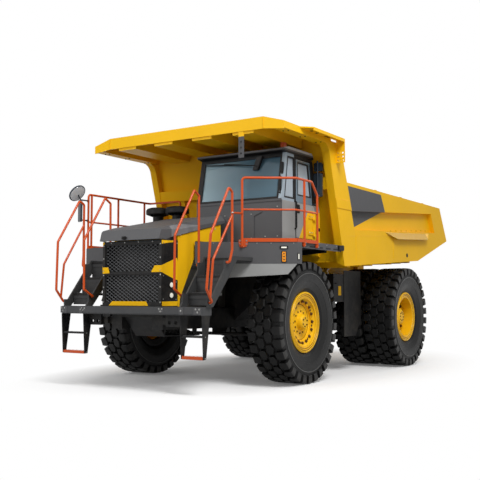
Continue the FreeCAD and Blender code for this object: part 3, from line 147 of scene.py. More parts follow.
def paint(name, color, rough, dust, coat=0.0, spread=0.07, peel=0.06, metal=0.0, sheen=0.3, zones=None):
    """Sprayed finish: faint clouding, a little dust low down, orange peel in the bump."""
    t = Tree(name)
    base = clouded(t, t.noise(0.9, 4.0), color, 1 - spread, 1 + spread)
    if zones:
        base = zones(t, base)
    low_down = t.ramp(t.place()[2], 3.2, 0.4, 0.25, 1.0)
    grime = t.times(t.ramp(t.noise(5.0, 6.0, 0.7), 0.42, 0.75), low_down)
    base = t.mix(t.times(grime, dust), base, rgb(150, 140, 125))
    return t.finish(base, t.noise(14.0, 4.0), rough - 0.05, rough + 0.08, t.noise(160.0, 2.0), peel,
                    Metallic=metal, Coat_Weight=coat, Coat_Roughness=0.12, Specular_IOR_Level=sheen)


def within(t, slants=(), **ranges):
    """1 inside the ranges of x, y, z and a, the distance from the middle plane, and 0 outside. Each slant
    (along, up, limit) also asks for along * y + up * z over its limit."""
    x, y, z = t.place()
    place = {"x": x, "y": y, "z": z, "a": t.math("ABSOLUTE", x, 0.0)}
    tests = [t.math(kind, place[axis], limit) for axis, pair in ranges.items()
             for kind, limit in zip(("GREATER_THAN", "LESS_THAN"), pair)]
    for along, up, limit in slants:
        line = t.math("ADD", t.times(y, along), t.times(z, up))
        tests.append(t.math("GREATER_THAN", line, limit))
    return reduce(t.times, tests)


def zoned(*zones):
    """Repaints parts of a node in other colours, each zone being (colour, what within() asks for)."""
    def apply(t, base):
        for color, ranges in zones:
            base = t.mix(within(t, **ranges), base, color)
        return base
    return apply


def from_axle(t):
    """Distance from the nearer axle's line."""
    y, z = t.place()[1:]
    axle = t.math("ADD", t.times(t.math("LESS_THAN", y, 0.0), FRONT_Y - REAR_Y), REAR_Y)
    dy, dz = t.math("SUBTRACT", y, axle), t.math("SUBTRACT", z, TYRE_R)
    return t.math("SQRT", t.math("ADD", t.times(dy, dy), t.times(dz, dz)), 0.0)


def rim_zones(t, base):
    """Painted shade in rings along the rim's grooves, and the black inner half of the front rims."""
    # Painted shade: darker rings at the rim's grooves
    for radius in (0.5, 0.468, 0.315):
        base = t.mix(t.math("COMPARE", from_axle(t), radius), base, rgb(140, 96, 10))
    return t.mix(within(t, x=(-1.62, 1.62), y=(-4.0, 0.0)), base, BLACK)


YELLOW = rgb(246, 190, 16)
DARK = rgb(84, 84, 86)
GREY = rgb(154, 155, 154)
PALE = rgb(170, 172, 172)
BLACK = rgb(17, 17, 18)
ORANGE = rgb(202, 78, 20)
TYRE_R = 1.085
FRONT_Y, REAR_Y = -2.34, 2.02


def rubber():
    """Deep black in the grooves, painted light on the lugs' flanks and side wall, a painted highlight ring on
    its rib.
    """
    t = Tree("tyre_rubber")
    radius = from_axle(t)
    normal = t.add("ShaderNodeSeparateXYZ")
    t.link(t.add("ShaderNodeNewGeometry").outputs["True Normal"], normal.inputs[0])
    flank_painted_light = t.math("GREATER_THAN", t.math("ABSOLUTE", normal.outputs[0], 0.0), 0.85)
    base = t.mix(t.ramp(t.noise(3.0, 5.0), 0.3, 0.7), rgb(9, 9, 10), rgb(15, 15, 15))
    # Painted light: side-facing faces lighter, the lugs' flanks most and the side wall below them a little
    base = t.mix(t.times(flank_painted_light, t.ramp(radius, 0.93, 0.99)), base, rgb(52, 51, 50))
    base = t.mix(t.times(flank_painted_light, t.ramp(radius, 0.93, 0.9)), base, rgb(27, 27, 27))
    # Painted highlight: a pale ring on the side wall's rib
    base = t.mix(t.math("COMPARE", radius, 0.872), base, rgb(98, 98, 97))
    dust = t.times(t.ramp(t.noise(9.0, 6.0, 0.7), 0.45, 0.8), 0.2)
    return t.finish(t.mix(dust, base, rgb(48, 46, 43)), t.noise(20.0), 0.4, 0.56, t.noise(220.0, 3.0), 0.15,
                    Specular_IOR_Level=0.32)


def glass():
    """Blue panes with a painted reflection: darker towards the windscreen's left end and pale in the cab's
    left side.
    """
    t = Tree("glass_tint_and_painted_reflection")
    x = t.place()[0]
    across = t.math("ADD", x, t.times(t.noise(0.9), 0.5))
    # Painted reflection: pale at the windscreen's right end, darker to the left, pale on the left side pane
    front = t.mix(t.ramp(across, 0.2, 1.3), rgb(200, 226, 236), rgb(106, 140, 158))
    return t.finish(t.mix(t.math("GREATER_THAN", x, 1.7), front, rgb(214, 226, 236)), t.noise(6.0), 0.02, 0.06,
                    Transmission_Weight=0.5, IOR=1.2)


def metal(name, color, rough):
    t = Tree(name)
    lines = t.noise(6.0, 3.0, 0.6, (1, 1, 30))
    return t.finish(clouded(t, lines, color, 0.88, 1.08), lines, rough - 0.05, rough + 0.1, lines, 0.05, 0.001,
                    Metallic=1.0)


def plastic(name, color, rough=0.55, grain=420.0, depth=0.2):
    t = Tree(name)
    return t.finish(clouded(t, t.noise(4.0), color, 0.9, 1.12), t.noise(30.0), rough - 0.06, rough + 0.08,
                    t.noise(grain, 2.0), depth, 0.001)


def cloth():
    t = Tree("seat_cloth")
    waves = []
    for direction in "XZ":
        wave = t.add("ShaderNodeTexWave", {"Scale": 260.0, "Distortion": 0.6}, bands_direction=direction)
        t.link(t.coords, wave.inputs["Vector"])
        waves.append(wave.outputs["Fac"])
    weave = t.times(*waves)
    base = t.mix(weave, rgb(26, 27, 30), rgb(62, 64, 70))
    return t.finish(base, t.noise(8.0), 0.82, 0.95, weave, 0.4, Sheen_Weight=0.25)


def lamp_lens(name, color, glow):
    t = Tree(name)
    base = clouded(t, t.noise(60.0), color, 0.85, 1.0)
    return t.finish(base, t.noise(40.0), 0.08, 0.16, t.noise(120.0, 1.0), 0.3, Coat_Weight=0.6,
                    Emission_Color=(*color, 1), Emission_Strength=glow)


PAINTS = {  # colour, roughness and dust, then coat, clouding, orange peel, metal and specular level
    "yellow": (YELLOW, 0.42, 0.04, 0.0, 0.035, 0.06, 0.0, 0.12),
    "canopy": (YELLOW, 0.42, 0.04, 0.0, 0.035, 0.06, 0.0, 0.12),
    "wheel": (YELLOW, 0.36, 0.06, 0.05, 0.05, 0.06, 0.0, 0.2),
    "cab": (GREY, 0.48, 0.06),
    "deck": (DARK, 0.5, 0.08),
    "roof": (DARK, 0.45, 0.05),
    "hood": (DARK, 0.45, 0.05),
    "tint": (rgb(104, 124, 138), 0.16, 0.0, 0.5, 0.12, 0.0),
    "mesh": (rgb(94, 95, 97), 0.4, 0.05),
    "bumper": (rgb(68, 69, 71), 0.45, 0.08),
    "under": (rgb(36, 36, 37), 0.5, 0.1),
    "mirror_shell": (rgb(44, 54, 64), 0.22, 0.0, 0.4),
    # pale paint on the round mirror's face stands in for its reflection: a painted reflection
    "mirror_painted_reflection": (rgb(236, 240, 244), 0.14, 0.0, 0.6, 0.05, 0.0),
    "dark": (DARK, 0.5, 0.1),
    "grey": (GREY, 0.5, 0.08),
    "black": (BLACK, 0.5, 0.12),
    "orange": (ORANGE, 0.4, 0.05, 0.15),
    "engine": (rgb(96, 94, 88), 0.6, 0.15, 0.0, 0.12, 0.3, 0.3),
    "nut": (rgb(92, 56, 12), 0.5, 0.25, 0.0, 0.15, 0.1, 0.3),
    "stair": (rgb(60, 61, 62), 0.5, 0.1),
}
# zones are ranges in metres: the cab's left side pillars, and a dark panel on the body's sides and recesses
PILLAR = {"x": (1.722, 1.9), "z": (3.235, 4.2)}
PANEL = {"a": (2.04, 9.0), "slants": ((1.0, 0.38, 0.428), (0.0, -1.0, -3.678), (-1.0, -0.62, -2.9325),
                                      (-0.301, 1.0, 3.0606))}
ZONES = {
    # the flap on the body's left side is painted a darker yellow: painted shade
    "yellow": zoned((shade(YELLOW, 0.62), {"x": (2.154, 2.4), "y": (0.7, 3.3), "z": (2.7, 3.1)}),
                    (rgb(88, 88, 90), PANEL)),
    "canopy": zoned((DARK, {"x": (1.2, 1.4), "y": (-3.46, -3.42), "z": (3.9, 4.312)})),
    "wheel": rim_zones,
    "cab": zoned((DARK, {"y": (-3.1, -2.885), "z": (2.4, 3.262)}),
                 (BLACK, {"x": (-0.2, 1.722), "y": (-3.1, -2.6), "z": (3.262, 4.2)}),
                 # the pale blue-grey on the cab's left side pillars is a painted highlight
                 (rgb(158, 172, 182), PILLAR), (BLACK, {**PILLAR, "y": (-2.455, -2.385)}),
                 (BLACK, {**PILLAR, "y": (-2.4, -1.0), "z": (4.02, 4.2)}),
                 (BLACK, {**PILLAR, "y": (-1.86, -1.0)}),
                 (YELLOW, {"x": (1.76, 1.9), "y": (-2.4, -1.0), "z": (2.55, 3.13),
                           "slants": ((1.0, -0.667, -4.007),)})),
    "deck": zoned((PALE, {"a": (2.1, 2.152), "y": (-2.925, -1.25), "z": (2.37, 2.52)}),
                  (BLACK, {"a": (2.152, 2.3), "y": (-1.45, -1.2), "z": (2.3, 2.6)})),
    "roof": zoned((PALE, {"x": (1.74, 1.9), "z": (4.165, 4.3)}), (BLACK, {"z": (4.0, 4.135)})),
    # the lighter grey patch on the hood's left facet is a painted highlight
    "hood": zoned((rgb(122, 122, 124), {"x": (0.64, 1.0), "y": (-4.6, -3.9), "z": (2.5, 2.76)})),
}
MAT = {name: paint(name, *values, zones=ZONES.get(name)) for name, values in PAINTS.items()}
MAT.update(rubber=rubber(), glass=glass(), cloth=cloth())
for maker, looks in (
        (metal, {"chrome": ((205, 207, 210), 0.14), "steel": ((165, 165, 162), 0.36),
                 "mirror": ((225, 230, 235), 0.05)}),
        (plastic, {"plastic": ((46, 47, 50),), "seal": ((24, 24, 25), 0.7, 300.0, 0.1)}),
        (lamp_lens, {"amber": ((236, 146, 14), 0.1), "beacon": ((196, 84, 52), 0.05),
                     "red": ((190, 20, 16), 0.1), "lens": ((240, 238, 225), 0.25)})):
    MAT.update((name, maker(name, rgb(*color), *values)) for name, (color, *values) in looks.items())

FINISHES = {
    "black": """air_cleaners battery_box boarding_ladders chassis_frame deck_supports fuel_tank grilles
        hydraulic_tank mudguards nose_frame radiator rear_axle suspension_struts tie_rod tow_jaw tow_lugs""",
    "cab": "cab_door cab_shell", "canopy": "dump_canopy", "cloth": "seat_pads", "dark": "cowl",
    "deck": "decks", "engine": "driveline engine_block", "glass": "cab_glass door_glass",
    "grey": "fender_panels", "bumper": "front_bumper", "mirror_shell": "mirrors", "orange": "handrails",
    "roof": "cab_roof", "plastic": "dashboard seat_frame", "stair": "stairs", "under": "belly_plate",
    "beacon": "beacon", "hood": "hood",
}
FINISH_OF = {node: finish for finish, nodes in FINISHES.items() for node in nodes.split()}
FAMILIES = {"tyre": "rubber", "rim": "wheel", "hoist_tube": "black", "hoist": "chrome", "knuckle": "black"}
for name, node in NODES.items():
    family = next((finish for word, finish in FAMILIES.items() if word in name), "yellow")
    node.data.materials.clear()
    node.data.materials.append(MAT[FINISH_OF.get(name, family)])


# ---------- mesh helpers
PLACE = {"x": lambda a, b, c: (c, a, b), "y": lambda a, b, c: (a, c, b), "z": lambda a, b, c: (a, b, c)}
FORE, AFT, LEFT, UP, DOWN = (0, -1, 0), (0, 1, 0), (1, 0, 0), (0, 0, 1), (0, 0, -1)


def rect(a0, b0, a1, b1):
    return [(a0, b0), (a1, b0), (a1, b1), (a0, b1)]


def frame_of(axis):
    """The axis's direction and two that stand square to it."""
    axis = Vector(axis).normalized()
    other = Vector(UP) if abs(axis.z) < 0.9 else Vector(AFT)
    side = axis.cross(other).normalized()
    return axis, side, axis.cross(side)


def circle(centre, side, up, radius, n):
    """n points round the centre, in the plane of side and up."""
    turns = (2 * math.pi * k / n for k in range(n))
    return [centre + side * (radius * math.cos(t)) + up * (radius * math.sin(t)) for t in turns]


class Shape:
    """A mesh under construction; each call adds closed forms to it."""

    def __init__(self):
        self.mesh = bmesh.new()

    def skin(self, rings, looped=False):
        """Rings of points joined one to the next; a ring of one point is a tip. The last joins the first if
        looped, else both are capped."""
        rows = [[self.mesh.verts.new(p) for p in ring] for ring in rings]
        made = []
        for a, b in zip(rows, rows[1:] + (rows[:1] if looped else [])):
            n = max(len(a), len(b))
            for i in range(n):
                j = (i + 1) % n
                corners = [a[i % len(a)], a[j % len(a)], b[j % len(b)], b[i % len(b)]]
                corners = [v for k, v in enumerate(corners) if v not in corners[:k]]
                made.append(self.mesh.faces.new(corners))
        for row in () if looped else (rows[0], rows[-1]):
            if len(row) > 2:
                made.append(self.mesh.faces.new(row))
        return made

    def prism(self, outline, axis, lo, hi, bevel=0.0):
        """Outline in the plane across the axis, (y, z), (x, z) or (x, y), carried from lo to hi."""
        faces = self.skin([[PLACE[axis](a, b, c) for a, b in outline] for c in (lo, hi)])
        if bevel:
            bmesh.ops.recalc_face_normals(self.mesh, faces=faces)
            edges = list({e for f in faces for e in f.edges})
            bmesh.ops.bevel(self.mesh, geom=edges, offset=bevel, segments=2, affect="EDGES",
                            clamp_overlap=True)
        return self

    def block(self, x0, x1, y0, y1, z0, z1, bevel=0.004):
        return self.prism(rect(x0, y0, x1, y1), "z", z0, z1, bevel)

    def lathe(self, profile, origin, axis=LEFT, n=32):
        """(offset along the axis, radius) points turned about it; the last point joins the first unless one
        of them lies on the axis."""
        axis, side, up = frame_of(axis)
        rings = []
        for offset, radius in profile:
            centre = Vector(origin) + axis * offset
            rings.append([centre] if radius < 1e-6 else circle(centre, side, up, radius, n))
        self.skin(rings, len(rings[0]) > 1 and len(rings[-1]) > 1)
        return self

    def rod(self, start, end, radius, n=14, chamfer=0.0):
        start, end = Vector(start), Vector(end)
        length = (end - start).length
        edge = [(0, radius - chamfer), (chamfer, radius)] if chamfer else [(0, radius)]
        profile = [(0, 0), *edge, *((length - a, r) for a, r in edge[::-1]), (length, 0)]
        return self.lathe(profile, start, end - start, n)

    def tube(self, points, radius, bend=0.03, n=10):
        """Round bar through the points, with rounded bends."""
        pts = [Vector(p) for p in points]
        path = [pts[0]]
        for before, here, after in zip(pts, pts[1:], pts[2:]):
            back, ahead = (before - here).normalized(), (after - here).normalized()
            reach = min(bend, (before - here).length / 2, (after - here).length / 2)
            a, b = here + back * reach, here + ahead * reach
            path += [a.lerp(here, t).lerp(here.lerp(b, t), t) for t in (0, 0.25, 0.5, 0.75, 1)]
        path.append(pts[-1])
        rings = []
        side = frame_of(path[1] - path[0])[1]
        for i, p in enumerate(path):
            along = (path[min(i + 1, len(path) - 1)] - path[max(i - 1, 0)]).normalized()
            side = (side - along * side.dot(along)).normalized()
            rings.append(circle(p, side, along.cross(side), radius, n))
        self.skin(rings)
        return self

    def bolts(self, places, out, size=0.012):
        """Hexagon heads on washers, standing out from the face at those points."""
        axis = frame_of(out)[0]
        for at in map(Vector, places):
            self.rod(at - axis * 0.001, at + axis * size * 0.22, size * 1.35, 14)
            self.lathe([(0, 0), (0, size), (size * 0.75, size), (size * 0.95, size * 0.8), (size * 0.95, 0)],
                       at + axis * size * 0.2, axis, 6)
        return self

    def frame(self, outer, inner, axis, lo, hi):
        """Closed band between two outlines with the same number of points."""
        rings = ((outer, lo), (outer, hi), (inner, hi), (inner, lo))
        self.skin([[PLACE[axis](a, b, c) for a, b in line] for line, c in rings], True)
        return self

    def mirror(self):
        """Adds everything's mirror image across the truck's middle plane."""
        geom = [item for kind in (self.mesh.verts, self.mesh.edges, self.mesh.faces) for item in kind]
        copy = bmesh.ops.duplicate(self.mesh, geom=geom)
        for item in copy["geom"]:
            if isinstance(item, bmesh.types.BMVert):
                item.co.x = -item.co.x
        return self

    def done(self, name, finish, body="truck", smooth=32, stands_for=()):
        """Ends the mesh as a named piece that rides on a body and replaces the nodes it stands for."""
        bmesh.ops.recalc_face_normals(self.mesh, faces=list(self.mesh.faces))
        limit = math.radians(smooth)
        for edge in self.mesh.edges:
            edge.smooth = len(edge.link_faces) == 2 and edge.calc_face_angle(0.0) < limit
        for face in self.mesh.faces:
            face.smooth = True
        mesh = bpy.data.meshes.new(name)
        self.mesh.to_mesh(mesh)
        self.mesh.free()
        mesh.materials.append(MAT[finish])
        piece = bpy.data.objects.new(name, mesh)
        COLLECTION.objects.link(piece)
        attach(piece, body)
        if stands_for:
            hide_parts(*stands_for)
        return piece


# ---------- tyres and rims
LUGS = 30
PITCH = 2 * math.pi / LUGS
FLANK = [(0.202, 0.446), (0.205, 0.54), (0.222, 0.566), (0.246, 0.6), (0.251, 0.604), (0.258, 0.622),
         (0.276, 0.66), (0.293, 0.705), (0.299, 0.722), (0.303, 0.724), (0.307, 0.745), (0.314, 0.8),
         (0.316, 0.86), (0.321, 0.866), (0.321, 0.878), (0.313, 0.882), (0.306, 0.91), (0.3, 0.932),
         (0.292, 0.965), (0.28, 0.992), (0.246, 1.022), (0.2, 1.03), (0.1, 1.032)]
SHOULDER = [  # across and radius at the lug's top, then at its foot, then half its width in pitches
    ((0.164, 1.084), (0.162, 1.03), 0.09), ((0.186, 1.0845), (0.184, 1.03), 0.3),
    ((0.217, 1.084), (0.208, 1.03), 0.335), ((0.268, 1.0815), (0.245, 1.022), 0.33),
    ((0.304, 1.077), (0.264, 1.008), 0.325), ((0.318, 1.071), (0.27, 1.002), 0.32),
    ((0.326, 1.056), (0.278, 0.992), 0.315), ((0.327, 1.01), (0.286, 0.972), 0.305),
    ((0.325, 0.948), (0.294, 0.945), 0.29), ((0.318, 0.94), (0.298, 0.932), 0.285)]
BLOCK = [(-0.07, -0.17), (-0.032, -0.415), (0.052, -0.365), (0.07, 0.17), (0.032, 0.415), (-0.052, 0.365)]


def around(x, y, across, radius, turn):
    """Point on a tyre with its middle at x and y, so far across, turned away from the top."""
    return (x + across, y + radius * math.sin(turn), TYRE_R + radius * math.cos(turn))


def shoulder_lug(s, x, y, side, middle):
    rings = []
    for (a_top, r_top), (a_foot, r_foot), half in SHOULDER:
        rings.append([around(x, y, side * across, radius, middle + k * half * PITCH) for k, across, radius in
                      ((-1.06, a_foot, r_foot), (-1.0, a_top - 0.003, r_top - 0.004), (-0.95, a_top, r_top),
                       (0.95, a_top, r_top), (1.0, a_top - 0.003, r_top - 0.004), (1.06, a_foot, r_foot))])
    s.skin(rings)


def centre_block(s, x, y, side, middle):
    s.skin([[around(x, y, side * (0.0785 + a * grow), radius, middle + u * grow * PITCH) for a, u in BLOCK]
            for grow, radius in ((1.03, 1.03), (1.0, 1.081), (0.96, 1.0845))])


def tyre(s, x, y):
    """Carcass down to the grooves' floor, with shoulder lugs and two rows of interlocking blocks."""
    s.lathe([(-a, r) for a, r in FLANK] + FLANK[::-1], (x, y, TYRE_R), LEFT, 3 * LUGS)
    for k in range(LUGS):
        for side, offset in ((1, 0), (-1, 0.5)):
            shoulder_lug(s, x, y, side, (k + offset) * PITCH)
            centre_block(s, x, y, side, (k + offset + 0.5) * PITCH)


def ring_of(count, radius, start=0):
    """Sine and cosine legs of evenly spaced points on a circle."""
    for k in range(count):
        turn = start + 2 * math.pi * k / count
        yield radius * math.sin(turn), radius * math.cos(turn)


def wheel_fittings(name, side, x, y, body, face, nut_r, nuts, cap):
    """Ridges on the rim, the clamp ring with its nuts, and the hub cover's bolts."""
    s = Shape()
    lip, lip_r, cone = 0.229, 0.514, 0.153

    def ring(*profile):
        s.lathe([(side * a, r) for a, r in profile], (x, y, TYRE_R), LEFT, 72)
    for radius, width, out in ((0.52, 0.018, 0.007), (0.487, 0.012, 0.006), (0.452, 0.01, 0.004)):
        base = lip - (lip_r - min(radius, lip_r)) * cone - 0.006
        ring((base, radius - width), (base + out + 0.006, radius - width * 0.5),
             (base + out + 0.006, radius + width * 0.1), (base, radius + width * 0.6))
    ring((face - 0.03, nut_r - 0.024), (face + 0.004, nut_r - 0.024), (face + 0.008, nut_r - 0.018),
         (face + 0.008, nut_r + 0.02), (face + 0.004, nut_r + 0.026), (face - 0.03, nut_r + 0.026))
    s.done(name + "_rim_fittings", "wheel", body)
    s = Shape()
    for radius, offset, count in cap:
        heads = [(x + side * offset, y + dy, TYRE_R + dz) for dy, dz in ring_of(count, radius, 0.1)]
        s.bolts(heads, (side, 0, 0))
    for dy, dz in ring_of(nuts, nut_r):
        at, stud, tip = ((x + side * (face + out), y + dy, TYRE_R + dz) for out in (0.008, 0.02, 0.045))
        s.bolts([at], (side, 0, 0), 0.024)
        s.rod(stud, tip, 0.011, 8, 0.002)
    inner, outer = nut_r - 0.02, nut_r + 0.022
    for dy, dz in ring_of(nuts // 2, nut_r - 0.002, math.pi / nuts):
        turn = math.atan2(dy, dz)
        s.skin([[(x + side * (face + out), y + r * math.sin(turn + a / r), TYRE_R + r * math.cos(turn + a / r))
                 for r, a in ((inner, -0.016), (outer, -0.02), (outer, 0.02), (inner, 0.016))]
                for out in (0.006, 0.012, 0.013)])
    s.done(name + "_wheel_nuts", "nut", body)


def make_wheels():
    for name, side in (("left", 1), ("right", -1)):
        for end, plural, y, middles, hub in (
                ("front", "", FRONT_Y, (1.715,), (0.15, 0.37, 16, ((0.075, 0.22, 6), (0.196, 0.122, 12)))),
                ("rear", "s", REAR_Y, (1.91, 1.17), (-0.03, 0.375, 20, ((0.09, 0.13, 8), (0.22, 0.03, 16))))):
            body, stands_for = (end + word + plural + "_" + name for word in ("_wheel", "_tyre"))
            s = Shape()
            for x in middles:
                tyre(s, side * x, y)
            s.done(end + "_tread_" + name, "rubber", body, 28, [stands_for])
            wheel_fittings(end + "_" + name, side, side * middles[0], y, body, *hub)


# ---------- front end
NOSE_Y = -4.79
FACET_OUT = Vector((0.986, -0.169, 0))


def facet(t, z, out=0):
    """Point on the nose's cut-back left corner: t runs from the front face to the side."""
    return Vector((0.64 + 0.06 * t, NOSE_Y + 0.35 * t, z)) + FACET_OUT * out


def facet_plate(s, points, out=0.004):
    """Thin plate on that corner, from (t, z) points."""
    s.skin([[facet(t, z, layer) for t, z in points] for layer in (-0.002, out)])


def mesh_panel(s, x0, x1, z0, z1, y, pitch=0.094, slope=0.62, wire=0.006):
    """Diamond mesh of crossing strands, cut to the rectangle."""
    run = (z1 - z0) / slope
    for sense in (1, -1):
        for k in range(int((x1 - x0 + run) / pitch) + 1):
            base = x0 - run + k * pitch
            xa, xb = max(x0, base), min(x1, base + run)
            if xb - xa < 0.004:
                continue
            ends = [(x, z0 + (x - base) * slope if sense > 0 else z1 - (x - base) * slope) for x in (xa, xb)]
            layer = y + (0.003 if sense > 0 else 0)
            section = [(0, -wire), (-wire * 0.8, 0), (0, wire), (wire * 0.8, 0)]
            s.skin([[(x, layer + dy, z + dz) for dy, dz in section] for x, z in ends])


def make_grille():
    s, rims = Shape(), Shape()
    half, edge = 0.59, 0.016
    for z0, z1 in ((1.44, 1.915), (1.945, 2.415)):
        mesh_panel(s, -half, half, z0, z1, -4.765)
        opening = rect(edge - half, z0 + edge, half - edge, z1 - edge)
        rims.frame(rect(-half, z0, half, z1), opening, "y", -4.778, -4.75)
    s.done("grille_mesh", "mesh", stands_for=["grilles"])
    rims.done("grille_frames", "black")
    s = Shape().bolts(product((-0.617, 0.617), (NOSE_Y,), (1.45, 1.7, 1.9, 1.97, 2.18, 2.4)), FORE, 0.01)
    s.bolts(product((-0.45, -0.15, 0.15, 0.45), (NOSE_Y,), (2.444,)), FORE, 0.009).done("nose_bolts", "steel")


def make_nose_accents():
    s = Shape()
    for line in ([(-0.64, 2.035), (-0.516, 2.035), (-0.483, 1.936), (-0.64, 1.93)],
                 [(0.498, 2.05), (0.64, 2.05), (0.64, 1.94), (0.421, 1.94)],
                 [(-0.494, 1.392), (-0.418, 1.464), (0.323, 1.464), (0.367, 1.392)],
                 [(-0.64, 2.4), (-0.6, 2.44), (-0.6, 2.462), (-0.64, 2.462)]):
        s.prism(line, "y", NOSE_Y - 0.004, NOSE_Y + 0.001, 0.0015)
    s.done("nose_accents", "yellow")
    s = Shape()
    facet_plate(s, [(0, 2.05), (0.94, 2.18), (0.99, 2.12), (0.99, 1.81), (0.7, 1.84), (0, 1.94)])
    facet_plate(s, [(0, 2.4), (0, 2.458), (0.71, 2.462), (0.69, 2.435)])
    facet_plate(s, [(0.03, 1.462), (0.99, 1.468), (0.97, 1.392), (0.05, 1.392)])
    s.mirror().done("nose_corner_accents", "yellow")


def make_nose_corners():
    """Slotted panel above and two round lamps below on each cut-back corner."""
    panel, lamps, bolts = Shape(), Shape(), Shape()
    facet_plate(panel, [(0.2, 2.395), (0.88, 2.4), (0.9, 2.2), (0.2, 2.105)], 0.006)
    slot = [(-1, 0), (-0.8, -1), (0.8, -1), (1, 0), (0.8, 1), (-0.8, 1)]
    for row, column in product(range(9), range(4)):
        z, t = 2.372 - row * 0.027, 0.3 + column * 0.16
        if z > 2.125 + 0.12 * t:
            panel.skin([[facet(t + a * 0.06, z + b * 0.007, out) for a, b in slot] for out in (0.004, 0.01)])
    for z in (1.735, 1.565):
        at = facet(0.6, z)
        panel.lathe([(0, 0.056), (0.012, 0.056), (0.018, 0.051), (0.018, 0.044), (0.008, 0.042), (0, 0.042)],
                    at, FACET_OUT, 28)
        lamps.lathe([(0, 0), (0, 0.043), (0.008, 0.043), (0.013, 0.03), (0.015, 0)], at, FACET_OUT, 28)
    heads = ((0.12, 1.5), (0.9, 1.5), (0.12, 1.88), (0.9, 1.78), (0.1, 2.42), (0.95, 2.42))
    bolts.bolts([facet(*at) for at in heads], FACET_OUT, 0.008)
    for shape, name, finish in ((panel, "nose_corner_panels", "black"), (lamps, "nose_lamps", "lens"),
                                (bolts, "nose_corner_bolts", "steel")):
        shape.mirror().done(name, finish)


def make_hood_parts():
    s = Shape().block(-0.135, -0.045, -4.896, -4.862, 2.492, 2.54, 0.006)
    s.block(-0.11, -0.07, -4.912, -4.89, 2.5, 2.53).done("hood_latch", "black", "hood")
    s = Shape().bolts(((0.7205, y, z) for y, z in ((-4.4, 2.56), (-3.9, 2.64), (-3.4, 2.73))), LEFT, 0.008)
    s.mirror().done("hood_bolts", "steel", "hood")


def make_bumper_parts():
    bolts, plates, grips = Shape(), Shape(), Shape()
    face, tread_y = -4.908, (-4.842, -4.776)
    for sign, x0, x1 in ((1, 1.08, 1.52), (-1, -1.52, -0.99)):
        outer, inner = (x1, x0) if sign > 0 else (x0, x1)
        for a, b in ((outer, outer - sign * 0.15), (inner, inner + sign * 0.09)):
            plates.block(min(a, b), max(a, b), face, -4.898, 1.262, 1.374, 0.003)
        bolts.bolts([(outer - sign * dx, face, z) for dx, z in ((0.035, 1.345), (0.105, 1.345), (0.07, 1.3))]
                    + [(inner + sign * 0.045, face, 1.32)], FORE)
        grips.block(x0 + 0.016, x1 - 0.016, tread_y[0], -4.768, 0.566, 0.61)
        for k in range(15):
            x = x0 + 0.035 + k * (x1 - x0 - 0.07) / 14
            for y in tread_y:
                grips.prism([(x - 0.009, 0.606), (x + 0.009, 0.606), (x, 0.622)], "y", y, y + 0.008)
            for y in (-4.823, -4.765):
                plates.rod((x, y, 0.925), (x, y, 0.938), 0.01, 8, 0.003)
        for z in (0.588, 0.918):
            for x, out in ((x0 - 0.001, -1), (x1 + 0.001, 1)):
                bolts.bolts([(x, -4.8, z)], (out, 0, 0), 0.009)
    for x in (-0.974, 0.716):
        plates.block(x - 0.055, x + 0.055, -4.904, -4.898, 1.29, 1.365, 0.002)
        bolts.bolts([(x + dx, -4.904, z) for dx, z in ((-0.03, 1.345), (0.03, 1.345), (0, 1.308))], FORE)
    plates.done("bumper_plates", "dark")
    bolts.done("bumper_bolts", "steel")
    grips.done("ladder_grips", "orange")


TREADS = ((-4.6, 1.6), (-4.39, 1.88), (-4.14, 2.17))


def make_stair_grips():
    """Raised buttons on the treads, with a nosing strip along each front edge."""
    s, nosing = Shape(), Shape()
    for y, z in TREADS:
        nosing.block(1.046, 1.524, y - 0.006, y + 0.03, z - 0.036, z + 0.004, 0.003)
        for row, column in product(range(4), range(9)):
            s.lathe([(0, 0.0155), (0.009, 0.0125), (0.01, 0.0095), (0, 0.0085)],
                    (1.085 + column * 0.05 + (row % 2) * 0.012, y + 0.065 + row * 0.044, z - 0.001), UP, 10)
    s.mirror().done("tread_grips", "dark")
    nosing.mirror().done("tread_nosings", "black")


def make_stair_risers():
    s = Shape()
    for (y, top), foot in zip(TREADS, (1.4, 1.6, 1.88)):
        s.block(1.045, 1.525, y + 0.006, y + 0.016, foot + 0.002, top - 0.041, 0.002)
        s.block(1.045, 1.525, y - 0.001, y + 0.01, top - 0.095, top - 0.036, 0.003)
    s.mirror().done("stair_risers", "stair")


# ---------- decks and rails
FASCIA_OUT = Vector((0.5476, -0.8368, 0))


def on_fascia(x, z, out=0):
    """Point on the left deck's swept front face."""
    return Vector((x, -3.067 - (2.2 - x) * 0.6544, z)) + FASCIA_OUT * out


